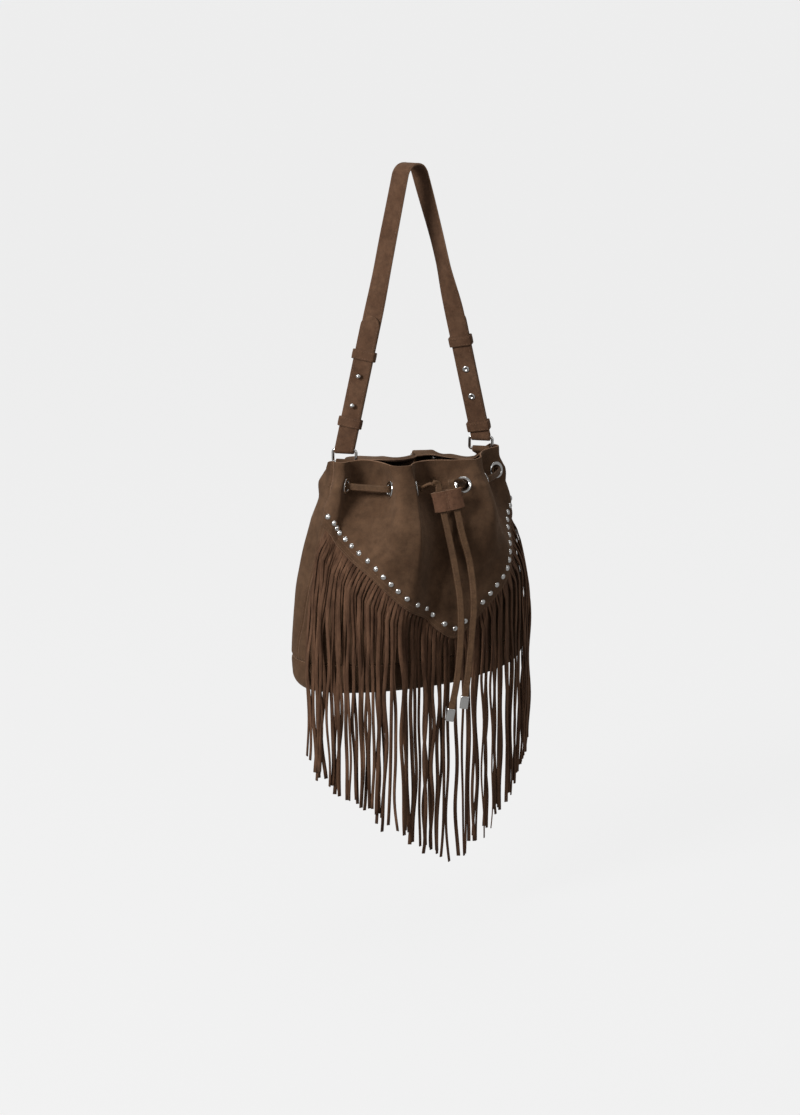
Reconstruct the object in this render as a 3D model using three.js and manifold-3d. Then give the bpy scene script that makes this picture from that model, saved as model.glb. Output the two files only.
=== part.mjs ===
// A fringed suede bucket bag hanging from its shoulder strap.
// The origin is the underside of the strap's crown, where a hook carries it. +Z is up, -Y is the front.
import * as THREE from 'three';
import { mergeVertices } from 'three/addons/utils/BufferGeometryUtils.js';
import Module from 'manifold-3d';

const wasm = await Module();
wasm.setup();

// Clearance between pieces that touch, in millimetres
const touchGap = 0.3;

// Bag body, in millimetres and degrees. Heights are measured up from the underside of the base.
const bagHeight = 241;
const suedeThickness = 1.6;
const baseSeamHeight = 34;
const eyeletDrop = 25;
const baseEdgeRadius = 18;
const bodyTwist = 7;
const clothAround = 690;

// Oval sections of the wall: height, half length along X and half depth along Y
const wallSections = [
  { height: 0, halfLength: 143, halfDepth: 73 },
  { height: baseSeamHeight, halfLength: 143, halfDepth: 76 },
  { height: 80, halfLength: 138, halfDepth: 87 },
  { height: 125, halfLength: 128, halfDepth: 95 },
  { height: 178, halfLength: 111, halfDepth: 97 },
  { height: bagHeight - eyeletDrop, halfLength: 93, halfDepth: 71 },
  { height: bagHeight, halfLength: 92, halfDepth: 61 },
];

// Gathers of one half of the wall, from the left seam along the front to the right seam.
// Every second station is an eyelet, which lies on the drawstring's oval; the others are folds,
// out (+) or in (-) of that oval, that run down the wall for their reach and fade out.
// The back half is the front half turned by 180 degrees.
const gathers = [
  { angle: -180, fold: 14, reach: 90 },
  { angle: -161, fold: 0, reach: 0 },
  { angle: -143, fold: -15, reach: 120 },
  { angle: -126, fold: 0, reach: 0 },
  { angle: -117, fold: 20, reach: 150 },
  { angle: -108, fold: 0, reach: 0 },
  { angle: -92, fold: -24, reach: 190 },
  { angle: -75, fold: 0, reach: 0 },
  { angle: -64, fold: 18, reach: 150 },
  { angle: -53, fold: 0, reach: 0 },
  { angle: -34, fold: -15, reach: 120 },
  { angle: -11, fold: 0, reach: 0 },
];
const rimFoldShare = 0.5;
const wallColumnLines = 72;
const backRowHeights = [70, 110, 150, 180];

// Eyelets
const eyeletHoleRadius = 5.5;
const eyeletFlangeRadius = 9;
const eyeletWasherRadius = 8.4;
const eyeletBarrelWall = 0.7;
const eyeletFlangeHeight = 1.1;
const eyeletWasherHeight = 0.8;
const eyeletFlatRadius = 12;
const eyeletFlatBlend = 8;
const eyeletSegments = 10;

// Pointed yoke over the fringe strips
const yokeCornerHeight = 178;
const yokeTipHeight = 56;
const yokeTipRounding = 0.02;
const yokeBow = 0.74;
const yokeLap = 13;
const yokeEaseHeight = 24;

// Dome studs along the yoke's edge
const domeStudsPerSide = 17;
const domeStudRadius = 3;
const domeStudHeight = 1.6;
const domeStudInset = 12;

// Fringe
const fringeThickness = 1.5;
const strandsPerSide = 38;
const strandWidth = 4;
const strandThickness = 1.2;
const strandLength = 250;
const strandSpread = 7;
const strandStandOff = 3.4;
const strandLayerStep = 1.9;

// Shoulder strap
const strapWidth = 20;
const strapThickness = 2.2;
const strapRise = 291;
const ringCentreX = 81;
const ringCentreY = 3;
const ringBarAzimuth = -40;
const crownAzimuth = -25;
const crownHalfSpan = 13;
const crownDip = 13;
const crownRoundness = 9;
const tailLength = 141;
const strapLayerGap = 1.6;
const strapSkewLength = 6.5;
const strapHolePitch = 31;
const firstHole = 16;
const strapHoleRadius = 2;

// Rings and their tabs
const ringWire = 3;
const ringInnerWidth = 22;
const ringInnerHeight = 10;
const ringCornerRadius = 2.6;
const ringBelowRim = 4;
const tabWidth = 17.5;
const tabThickness = 1.6;
const tabSeamPlace = 0.0132;
const tabFootHeight = 204;
const tabPatchHeight = 18;

// Keepers: the places of their middles above the ring bar
const keeperHeight = 10;
const keeperThickness = 2;
const keeperPlaces = {
  keeper_left_lower: { side: 'left', at: 29 },
  keeper_left_upper: { side: 'left', at: 100 },
  keeper_right_lower: { side: 'right', at: 13 },
  keeper_right_upper: { side: 'right', at: 109 },
};

// Ball studs and their screws
const ballRadius = 2.7;
const ballNeckRadius = 1.5;
const ballNeckHeight = 0.9;
const ballFlangeRadius = 3.8;
const screwHeadRadius = 3.7;
const screwHeadHeight = 0.9;
const screwShankRadius = 1.2;

// Drawstring, slider and end tips
const cordWidth = 7;
const cordThickness = 2.6;
const sliderWidth = 31;
const sliderHeight = 20;
const sliderDepth = 10;
const sliderChannelPitch = 14;
const sliderCentre = { x: -2, y: -87, height: 206 };
const tipWidth = 8.6;
const tipDepth = 4.4;
const tipHeight = 13.5;
const tipSocketDepth = 5;

// Places derived from the sizes above
const eyeletHeight = bagHeight - eyeletDrop;
const layerPitch = strapThickness + strapLayerGap;
const ringBarSpacing = ringInnerHeight + ringWire;
const crownToBase = strapRise + ringBarSpacing + bagHeight - ringBelowRim;
const stationCount = gathers.length * 2;
const yokeStep = touchGap + fringeThickness + touchGap;
const degrees = Math.PI / 180;
const up = new THREE.Vector3(0, 0, 1);

const vector = (x, y, z) => new THREE.Vector3(x, y, z);
const mix = (a, b, t) => a + (b - a) * t;
const clamp01 = (t) => Math.min(1, Math.max(0, t));
const smooth = (t) => clamp01(t) ** 2 * (3 - 2 * clamp01(t));

// A sequence of numbers that is the same in every run
function seededNumbers(seed) {
  let state = seed;
  return () => {
    state = (state * 16807) % 2147483647;
    return state / 2147483647;
  };
}

// Closed solids

function closedGeometry(points, triangles) {
  let volume = 0;
  for (const [a, b, c] of triangles) {
    volume += points[a].dot(vector(0, 0, 0).crossVectors(points[b], points[c]));
  }
  const faces = volume < 0 ? triangles.map(([a, b, c]) => [a, c, b]) : triangles;
  const geometry = new THREE.BufferGeometry();
  geometry.setAttribute('position', new THREE.Float32BufferAttribute(points.flatMap((p) => [p.x, p.y, p.z]), 3));
  geometry.setIndex(faces.flat());
  return geometry;
}

// Normals of a grid of points, from the directions to its neighbours
function gridNormals(grid, closedRows) {
  const rows = grid.length;
  const columns = grid[0].length;
  return grid.map((row, r) => row.map((point, c) => {
    const before = closedRows ? grid[(r + rows - 1) % rows][c] : grid[Math.max(r - 1, 0)][c];
    const after = closedRows ? grid[(r + 1) % rows][c] : grid[Math.min(r + 1, rows - 1)][c];
    const left = row[Math.max(c - 1, 0)];
    const right = row[Math.min(c + 1, columns - 1)];
    const along = vector(0, 0, 0).subVectors(after, before);
    const across = vector(0, 0, 0).subVectors(right, left);
    return along.cross(across).normalize();
  }));
}

// A sheet with two faces and a rim between them; closedRows joins the last row to the first
function sheetBetween(front, back, closedRows = false) {
  const rows = front.length;
  const columns = front[0].length;
  const points = [...front.flat(), ...back.flat()];
  const at = (r, c, side) => side * rows * columns + (r % rows) * columns + c;
  const triangles = [];
  const quad = (a, b, c, d) => triangles.push([a, b, c], [a, c, d]);
  const spans = closedRows ? rows : rows - 1;
  for (let r = 0; r < spans; r += 1) {
    for (let c = 0; c < columns - 1; c += 1) {
      quad(at(r, c, 0), at(r, c + 1, 0), at(r + 1, c + 1, 0), at(r + 1, c, 0));
      quad(at(r, c, 1), at(r + 1, c, 1), at(r + 1, c + 1, 1), at(r, c + 1, 1));
    }
    quad(at(r, 0, 0), at(r + 1, 0, 0), at(r + 1, 0, 1), at(r, 0, 1));
    const last = columns - 1;
    quad(at(r, last, 0), at(r, last, 1), at(r + 1, last, 1), at(r + 1, last, 0));
  }
  if (!closedRows) {
    for (let c = 0; c < columns - 1; c += 1) {
      quad(at(0, c, 0), at(0, c, 1), at(0, c + 1, 1), at(0, c + 1, 0));
      const end = rows - 1;
      quad(at(end, c, 0), at(end, c + 1, 0), at(end, c + 1, 1), at(end, c, 1));
    }
  }
  return closedGeometry(points, triangles);
}

// A sheet of even thickness about a grid of points on its middle
function sheetAbout(grid, thickness, closedRows = false) {
  const normals = gridNormals(grid, closedRows);
  const moved = (by) => grid.map((row, r) => row.map((p, c) => p.clone().addScaledVector(normals[r][c], by)));
  return sheetBetween(moved(thickness / 2), moved(-thickness / 2), closedRows);
}

// A ring of sections: each section is a loop of points, and the sections close on themselves
function closedTube(sections) {
  const count = sections.length;
  const sides = sections[0].length;
  const triangles = [];
  for (let r = 0; r < count; r += 1) {
    for (let c = 0; c < sides; c += 1) {
      const a = r * sides + c;
      const b = r * sides + ((c + 1) % sides);
      const d = ((r + 1) % count) * sides + c;
      const e = ((r + 1) % count) * sides + ((c + 1) % sides);
      triangles.push([a, b, e], [a, e, d]);
    }
  }
  return closedGeometry(sections.flat(), triangles);
}

// Manifold joins and cuts
function toSolid(geometry) {
  const bare = new THREE.BufferGeometry();
  bare.setAttribute('position', geometry.getAttribute('position').clone());
  if (geometry.index) {
    bare.setIndex(geometry.index.clone());
  }
  const merged = mergeVertices(bare, 1e-4);
  return new wasm.Manifold(new wasm.Mesh({
    numProp: 3,
    vertProperties: new Float32Array(merged.getAttribute('position').array),
    triVerts: new Uint32Array(merged.index.array),
  }));
}

function fromSolid(solid) {
  const mesh = solid.getMesh();
  const geometry = new THREE.BufferGeometry();
  geometry.setAttribute('position', new THREE.Float32BufferAttribute(mesh.vertProperties, 3));
  geometry.setIndex([...mesh.triVerts]);
  return geometry;
}

function joined(geometries) {
  return fromSolid(geometries.map(toSolid).reduce((all, solid) => all.add(solid)));
}

function cut(geometry, cutters) {
  return fromSolid(cutters.map(toSolid).reduce((rest, solid) => rest.subtract(solid), toSolid(geometry)));
}

// Places a geometry that was made about +Z at a point, with its Z axis along a direction
function placed(geometry, point, axis, across = null) {
  const z = axis.clone().normalize();
  const rough = across ?? (Math.abs(z.z) < 0.9 ? up : vector(1, 0, 0));
  const x = rough.clone().addScaledVector(z, -rough.dot(z)).normalize();
  const y = vector(0, 0, 0).crossVectors(z, x);
  const matrix = new THREE.Matrix4().makeBasis(x, y, z).setPosition(point);
  return geometry.clone().applyMatrix4(matrix);
}

// A turned solid about Z from a closed profile of [radius, height] pairs
function turned(profile, segments) {
  const closed = profile[0][0] === 0 ? profile : [...profile, profile[0]];
  const points = closed.map(([radius, height]) => new THREE.Vector2(radius, height));
  const geometry = new THREE.LatheGeometry(points, segments);
  geometry.rotateX(90 * degrees);
  return geometry;
}

function holeCutter(radius, length, point, axis) {
  const cylinder = new THREE.CylinderGeometry(radius, radius, length, 8);
  cylinder.rotateX(90 * degrees);
  return placed(cylinder, point, axis);
}

// The wall: a surface of the place around the bag (0 left seam, 0.25 front, 0.5 right seam) and height

// Catmull-Rom value between b and c
function spline(a, b, c, d, t) {
  return 0.5 * (2 * b + (c - a) * t + (2 * a - 5 * b + 4 * c - d) * t * t + (3 * b - a - 3 * c + d) * t ** 3);
}

function wallHalfSize(height, size) {
  const last = wallSections.length - 1;
  let i = 0;
  while (i < last - 1 && height > wallSections[i + 1].height) {
    i += 1;
  }
  const value = (n) => wallSections[Math.min(Math.max(n, 0), last)][size];
  const t = (height - wallSections[i].height) / (wallSections[i + 1].height - wallSections[i].height);
  return spline(value(i - 1), value(i), value(i + 1), value(i + 2), clamp01(t));
}

function foldShare(height, reach) {
  if (height > eyeletHeight) {
    return mix(1, rimFoldShare, (height - eyeletHeight) / eyeletDrop);
  }
  return reach > 0 ? clamp01(1 - (eyeletHeight - height) / reach) ** 1.6 : 0;
}

// One of the stations around the wall at a height
function wallStation(index, height) {
  const station = (index + stationCount) % stationCount;
  const half = station >= gathers.length ? -1 : 1;
  const place = station % gathers.length;
  const { angle, fold, reach } = gathers[place];
  const evenAngle = -180 + (180 * place) / gathers.length;
  const gathering = smooth((height - baseSeamHeight) / (eyeletHeight - baseSeamHeight));
  const turn = mix(evenAngle, angle, gathering) * degrees;
  const a = wallHalfSize(height, 'halfLength');
  const b = wallHalfSize(height, 'halfDepth');
  const normal = vector(Math.cos(turn) / a, Math.sin(turn) / b, 0).normalize();
  const point = vector(a * Math.cos(turn), b * Math.sin(turn), height);
  point.addScaledVector(normal, fold * foldShare(height, reach));
  const twist = bodyTwist * (1 - smooth(height / bagHeight)) * degrees;
  return vector(point.x * half, point.y * half, height).applyAxisAngle(up, twist);
}

function gatheredPoint(around, height) {
  const place = (((around % 1) + 1) % 1) * stationCount;
  const first = Math.floor(place);
  const [a, b, c, d] = [-1, 0, 1, 2].map((step) => wallStation(first + step, height));
  const t = place - first;
  return vector(spline(a.x, b.x, c.x, d.x, t), spline(a.y, b.y, c.y, d.y, t), height);
}

function normalOf(surface, around, height) {
  const along = surface(around + 0.002, height).sub(surface(around - 0.002, height));
  const rise = surface(around, height + 1).sub(surface(around, height - 1));
  return along.cross(rise).normalize();
}

// The eyelets sit at every second station, in the middle between two folds
const eyelets = Array.from({ length: gathers.length }, (_, i) => {
  const around = (2 * i + 1) / stationCount;
  const point = gatheredPoint(around, eyeletHeight);
  return { around, point, normal: normalOf(gatheredPoint, around, eyeletHeight) };
});

// The suede is pressed flat around each eyelet
function wallPoint(around, height) {
  const point = gatheredPoint(around, height);
  for (const eyelet of eyelets) {
    const aside = (((around - eyelet.around + 1.5) % 1) - 0.5) * clothAround;
    const away = Math.hypot(aside, height - eyeletHeight);
    const share = 1 - smooth((away - eyeletFlatRadius) / eyeletFlatBlend);
    if (share > 0) {
      const off = point.clone().sub(eyelet.point).dot(eyelet.normal);
      point.addScaledVector(eyelet.normal, -off * share);
    }
  }
  return point;
}

function wallAt(around, height, outward = 0) {
  return wallPoint(around, height).addScaledVector(normalOf(wallPoint, around, height), outward);
}

// Height of the yoke's pointed edge; the two branches meet in a rounded tip at the front
function yokeEdge(around) {
  const aside = Math.hypot(around - 0.25, yokeTipRounding) - yokeTipRounding;
  const full = Math.hypot(0.25, yokeTipRounding) - yokeTipRounding;
  return mix(yokeTipHeight, yokeCornerHeight, (aside / full) ** yokeBow);
}

// Columns of a wall piece: its own edges and the column lines that all wall pieces share
function wallColumns(from, to) {
  const lines = [from];
  for (let i = 0; i < wallColumnLines; i += 1) {
    const line = i / wallColumnLines;
    if (line > from + 0.1 / wallColumnLines && line < to - 0.1 / wallColumnLines) {
      lines.push(line);
    }
  }
  return [...lines, to];
}

// A piece of the wall between two places around it, with rows at the heights given for each place
function wallPiece(from, to, heights, outward, thickness) {
  const seam = touchGap / 2 / clothAround;
  const columns = wallColumns(from + seam, to - seam);
  const face = (depth) => columns.map((around) => heights(around).map(
    (height) => wallAt(around, height, outward(around, height) - depth),
  ));
  return sheetBetween(face(0), face(thickness));
}

// What an eyelet needs clear of suede: the barrel's hole and a flat seat under the flange and washer
function eyeletSeats(list) {
  const clear = touchGap / 2;
  const reach = 5;
  const hole = eyeletHoleRadius + eyeletBarrelWall + touchGap;
  const seat = turned([
    [0, -reach],
    [eyeletWasherRadius + touchGap, -reach],
    [eyeletWasherRadius + touchGap, -suedeThickness - clear],
    [hole, -suedeThickness - clear],
    [hole, clear],
    [eyeletFlangeRadius + touchGap, clear],
    [eyeletFlangeRadius + touchGap, reach],
    [0, reach],
  ], eyeletSegments);
  return list.map(({ point, normal }) => placed(seat, point, normal));
}

const frontEyelets = eyelets.slice(0, gathers.length / 2);
const backEyelets = eyelets.slice(gathers.length / 2);
const wallFoot = baseSeamHeight + touchGap;
const flush = () => 0;

// Rows of suede above a height: one at each side of the eyelets' flat band and one at the rim
function rowsAbove(height) {
  const band = [eyeletHeight - eyeletFlatRadius, eyeletHeight, eyeletHeight + eyeletFlatRadius];
  return [...band.filter((row) => row > height + 4), bagHeight];
}

function backPanel() {
  const heights = [wallFoot, ...backRowHeights, ...rowsAbove(Math.max(...backRowHeights))];
  const sheet = wallPiece(0.5, 1, () => heights, flush, suedeThickness);
  return cut(sheet, eyeletSeats(backEyelets));
}

function frontPanel() {
  const heights = (around) => {
    const edge = yokeEdge(around);
    return [wallFoot, mix(wallFoot, edge, 0.33), mix(wallFoot, edge, 0.66), edge, edge + yokeLap];
  };
  return wallPiece(0, 0.5, heights, flush, suedeThickness);
}

// The yoke lies over the fringe strips at its edge and eases back to the wall above them
function yokeOutward(around, height) {
  const over = height - yokeEdge(around) - yokeLap;
  return (yokeStep + suedeThickness) * (1 - smooth(over / yokeEaseHeight));
}

function domeStuds() {
  const studs = [];
  const sunk = 0.8;
  const profile = [[0, -sunk], [domeStudRadius, -sunk], [domeStudRadius * 0.8, domeStudHeight * 0.7], [0, domeStudHeight]];
  const stud = turned(profile, 6);
  for (let i = -domeStudsPerSide; i <= domeStudsPerSide; i += 1) {
    const around = 0.25 + (i / (domeStudsPerSide + 0.6)) * 0.25;
    const height = yokeEdge(around) + domeStudInset;
    const point = wallAt(around, height, yokeOutward(around, height));
    studs.push(placed(stud, point, normalOf(wallPoint, around, height)));
  }
  return studs;
}

function frontYoke() {
  const heights = (around) => {
    const edge = yokeEdge(around);
    const eased = edge + yokeLap + yokeEaseHeight;
    const body = mix(eased, eyeletHeight - eyeletFlatRadius, 0.5);
    const rows = [edge, edge + yokeLap, edge + yokeLap + yokeEaseHeight / 2, eased, body];
    const low = eyeletHeight - eyeletFlatRadius;
    const kept = rows.map((row, i) => Math.min(row, low - 1.5 * (rows.length - 1 - i)));
    return [...kept, low, eyeletHeight, eyeletHeight + eyeletFlatRadius, bagHeight];
  };
  const sheet = wallPiece(0, 0.5, heights, yokeOutward, suedeThickness);
  return joined([cut(sheet, eyeletSeats(frontEyelets)), ...domeStuds()]);
}

// The base: a tray with a rounded edge that meets the wall at the base seam
function basePanel() {
  const columns = 36;
  const arcSteps = 3;
  const loops = { outer: [], inner: [] };
  for (const [side, wall] of [['outer', 0], ['inner', suedeThickness]]) {
    const radius = baseEdgeRadius - wall;
    const rows = [[baseSeamHeight, wall], [baseEdgeRadius, wall]];
    for (let i = 1; i <= arcSteps; i += 1) {
      const turn = (i / arcSteps) * 90 * degrees;
      rows.push([baseEdgeRadius - radius * Math.sin(turn), baseEdgeRadius - radius * Math.cos(turn)]);
    }
    for (const [height, inset] of rows) {
      const loop = [];
      for (let c = 0; c < columns; c += 1) {
        const level = Math.max(height, baseEdgeRadius);
        const here = wallPoint(c / columns, level);
        const normal = normalOf(wallPoint, c / columns, level);
        const outward = vector(normal.x, normal.y, 0).normalize();
        loop.push(vector(here.x, here.y, height).addScaledVector(outward, -inset));
      }
      loops[side].push(loop);
    }
  }
  const points = [...loops.outer.flat(), ...loops.inner.flat()];
  const rowsPerSide = loops.outer.length;
  const innerStart = rowsPerSide * columns;
  const triangles = [];
  const quad = (a, b, c, d) => triangles.push([a, b, c], [a, c, d]);
  for (let r = 0; r < rowsPerSide - 1; r += 1) {
    for (let c = 0; c < columns; c += 1) {
      const next = (c + 1) % columns;
      const [a, b, d, e] = [r * columns + c, r * columns + next, (r + 1) * columns + next, (r + 1) * columns + c];
      quad(a, e, d, b);
      quad(innerStart + a, innerStart + b, innerStart + d, innerStart + e);
    }
  }
  const lastOuter = (rowsPerSide - 1) * columns;
  const lastInner = innerStart + lastOuter;
  const outerHub = points.push(vector(0, 0, 0)) - 1;
  const innerHub = points.push(vector(0, 0, suedeThickness)) - 1;
  for (let c = 0; c < columns; c += 1) {
    const next = (c + 1) % columns;
    triangles.push([lastOuter + c, outerHub, lastOuter + next]);
    triangles.push([lastInner + c, lastInner + next, innerHub]);
    quad(c, next, innerStart + next, innerStart + c);
  }
  return closedGeometry(points, triangles);
}

// Fringe: a strip behind the yoke's edge with long strands cut from it
function fringeStrip(from, to) {
  const heights = (around) => [yokeEdge(around), yokeEdge(around) + yokeLap];
  return wallPiece(from, to, heights, () => touchGap + fringeThickness, fringeThickness);
}

// One strand: it leaves the yoke's edge square to it, turns down and hangs in front of the wall.
// side is -1 left of the tip and 1 right of it.
function strandGrid(around, side, layer, bend) {
  const rootLap = 4;
  const clearOfYoke = 7;
  const lengths = [0, clearOfYoke, 36, 110, strandLength + rootLap];
  const root = yokeEdge(around) + rootLap;
  let hanging = null;
  return lengths.map((length) => {
    const height = root - length * 0.985;
    const drift = side * strandSpread * (1 - Math.exp(-length / 14)) + (bend * length) / strandLength;
    const place = around + drift / clothAround;
    const lift = smooth((length - clearOfYoke) / 26) * (strandStandOff + layer * strandLayerStep);
    const level = Math.max(height, baseEdgeRadius);
    const point = wallAt(place, level, touchGap + strandThickness / 2 + lift);
    const normal = normalOf(wallPoint, place, level);
    const tangent = vector(0, 0, 0).crossVectors(up, normal).normalize();
    if (height < baseSeamHeight) {
      hanging = hanging ?? point.clone();
      point.set(hanging.x, hanging.y, height);
    }
    const tilt = side * 0.5 * Math.exp(-length / 12);
    const across = tangent.applyAxisAngle(normal, -tilt);
    return [-1, 1].map((s) => point.clone().addScaledVector(across, (s * strandWidth) / 2));
  });
}

function fringe(side) {
  const [from, to] = side < 0 ? [0, 0.25] : [0.25, 0.5];
  const clearOfSeam = 0.01;
  const random = seededNumbers(side < 0 ? 11 : 29);
  const strands = [];
  for (let i = 0; i < strandsPerSide; i += 1) {
    const share = (i + 0.5) / strandsPerSide;
    const around = mix(Math.max(from, clearOfSeam), Math.min(to, 0.5 - clearOfSeam), share);
    const bend = (random() - 0.5) * 3;
    strands.push(sheetAbout(strandGrid(around, side, i % 2, bend), strandThickness));
  }
  return joined([fringeStrip(from, to), ...strands]);
}

// Eyelet: flange and barrel set from outside, rolled over a washer inside
function eyeletGeometry() {
  const back = -(suedeThickness + touchGap + eyeletWasherHeight);
  const barrel = eyeletHoleRadius + eyeletBarrelWall;
  return turned([
    [eyeletHoleRadius, back],
    [eyeletWasherRadius, back + eyeletWasherHeight / 2],
    [barrel, back + eyeletWasherHeight],
    [barrel, touchGap],
    [eyeletFlangeRadius, touchGap],
    [mix(eyeletHoleRadius, eyeletFlangeRadius, 0.55), touchGap + eyeletFlangeHeight],
    [eyeletHoleRadius, touchGap + eyeletFlangeHeight * 0.7],
  ], eyeletSegments);
}

// Ring frames: the bars of both rings are parallel
const barAcross = vector(Math.cos(ringBarAzimuth * degrees), Math.sin(ringBarAzimuth * degrees), 0);

function turnedHalf(point, side) {
  return side === 'left' ? point : vector(-point.x, -point.y, point.z);
}

function ringUpperBar(side) {
  return turnedHalf(vector(-ringCentreX, -ringCentreY, -strapRise), side);
}

// Outward direction at the left leg, square to the bar
const legOutward = vector(0, 0, 0).crossVectors(barAcross, up);

function ringGeometry(side) {
  const halfWidth = (ringInnerWidth + ringWire) / 2;
  const halfHeight = ringBarSpacing / 2;
  const corner = ringCornerRadius;
  const centre = ringUpperBar(side).addScaledVector(up, -halfHeight);
  const sections = [];
  const corners = [[1, 1, 0], [-1, 1, 90], [-1, -1, 180], [1, -1, 270]];
  for (const [sx, sz, start] of corners) {
    for (const step of [0, 30, 60, 90]) {
      const turn = (start + step) * degrees;
      const x = sx * (halfWidth - corner) + corner * Math.cos(turn);
      const z = sz * (halfHeight - corner) + corner * Math.sin(turn);
      const out = barAcross.clone().multiplyScalar(Math.cos(turn)).addScaledVector(up, Math.sin(turn));
      const middle = centre.clone().addScaledVector(barAcross, x).addScaledVector(up, z);
      const loop = [];
      for (let i = 0; i < 8; i += 1) {
        const around = (i / 8) * 360 * degrees;
        loop.push(middle.clone()
          .addScaledVector(out, Math.cos(around) * ringWire / 2)
          .addScaledVector(legOutward, Math.sin(around) * ringWire / 2));
      }
      sections.push(loop);
    }
  }
  return closedTube(sections);
}

// Left strap leg: a straight line from the ring bar to the crown's bend
const legFoot = ringUpperBar('left');
const crownAcross = vector(Math.cos(crownAzimuth * degrees), Math.sin(crownAzimuth * degrees), 0);
const legTop = crownAcross.clone().multiplyScalar(-crownHalfSpan).addScaledVector(up, -crownDip);
const legDirection = legTop.clone().sub(legFoot).normalize();
const legLength = legTop.distanceTo(legFoot);

// The strap's width direction, square to where it runs
function squareTo(direction, azimuth) {
  const rough = vector(Math.cos(azimuth * degrees), Math.sin(azimuth * degrees), 0);
  return rough.addScaledVector(direction, -rough.dot(direction)).normalize();
}

// Middle, width direction and outward normal of the left leg at a distance above the ring bar
function legFrame(distance) {
  const twistShare = smooth((distance - tailLength) / (legLength - tailLength));
  const across = squareTo(legDirection, mix(ringBarAzimuth, crownAzimuth - 90, twistShare));
  const start = clamp01(distance / strapSkewLength);
  const width = barAcross.clone().lerp(across, start).normalize();
  const normal = vector(0, 0, 0).crossVectors(width, legDirection).normalize();
  const middle = legFoot.clone().addScaledVector(legDirection, distance);
  return { middle, width, normal };
}

// One row of the strap at the left leg, at an offset along the outward normal
function legRow(distance, outward, halfWidth = strapWidth / 2) {
  const { middle, width, normal } = legFrame(distance);
  const point = middle.addScaledVector(normal, outward);
  return [-1, 1].map((s) => point.clone().addScaledVector(width, s * halfWidth));
}

const barWrapRadius = (ringWire + strapThickness) / 2 + touchGap;

// Rows of the left half of the strap: tail tip, round the ring bar, up the leg to the crown's bend
function leftStrapRows() {
  const rows = [];
  const half = layerPitch / 2;
  for (const back of [0, 2, 6, 10]) {
    const narrow = Math.sqrt(1 - ((10 - back) / 10.5) ** 2);
    rows.push(legRow(tailLength - back, half, (strapWidth / 2) * narrow));
  }
  for (const distance of [110, 78, 47, 16, strapSkewLength]) {
    rows.push(legRow(distance, half));
  }
  for (const turn of [0, 30, 60, 90, 120, 150, 180]) {
    const middle = legFoot.clone()
      .addScaledVector(legOutward, barWrapRadius * Math.cos(turn * degrees))
      .addScaledVector(up, -barWrapRadius * Math.sin(turn * degrees));
    rows.push([-1, 1].map((s) => middle.clone().addScaledVector(barAcross, (s * strapWidth) / 2)));
  }
  for (const distance of [strapSkewLength, 47, 78, 110, tailLength]) {
    rows.push(legRow(distance, -half));
  }
  const steps = 10;
  for (let i = 1; i <= steps; i += 1) {
    const share = i / steps;
    rows.push(legRow(mix(tailLength, legLength, share), -half * (1 - smooth(share * 1.6))));
  }
  return rows;
}

// Rows of the crown's left half, from the leg's top to the middle of the bend
function leftCrownRows() {
  const top = vector(0, 0, strapThickness / 2);
  const bend = new THREE.CubicBezierCurve3(
    legTop,
    legTop.clone().addScaledVector(legDirection, crownRoundness * 0.6),
    top.clone().addScaledVector(crownAcross, -crownRoundness),
    top,
  );
  return [0.25, 0.5, 0.75, 1].map((t) => {
    const across = squareTo(bend.getTangent(t), crownAzimuth - 90);
    const middle = bend.getPoint(t);
    return [-1, 1].map((s) => middle.clone().addScaledVector(across, (s * strapWidth) / 2));
  });
}

function strapHoles() {
  const cutters = [];
  for (const side of ['left', 'right']) {
    for (let i = 0; i < 3; i += 1) {
      const { middle, normal } = legFrame(firstHole + i * strapHolePitch);
      const depth = 1;
      const tail = middle.clone().addScaledVector(normal, layerPitch / 2);
      cutters.push(holeCutter(strapHoleRadius, strapThickness + depth, turnedHalf(tail, side), turnedHalf(normal, side)));
      if (i > 0) {
        const leg = middle.clone().addScaledVector(normal, -layerPitch / 2);
        const radius = screwShankRadius + touchGap;
        cutters.push(holeCutter(radius, strapThickness + depth, turnedHalf(leg, side), turnedHalf(normal, side)));
      }
    }
  }
  return cutters;
}

function shoulderStrap() {
  const left = [...leftStrapRows(), ...leftCrownRows()];
  // The right half is the left half turned by 180 degrees and run backwards, edges swapped
  const right = left.slice(0, -1).reverse().map(([a, b]) => [turnedHalf(b, 'right'), turnedHalf(a, 'right')]);
  const sheet = sheetAbout([...left, ...right], strapThickness);
  return cut(sheet, strapHoles());
}

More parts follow.
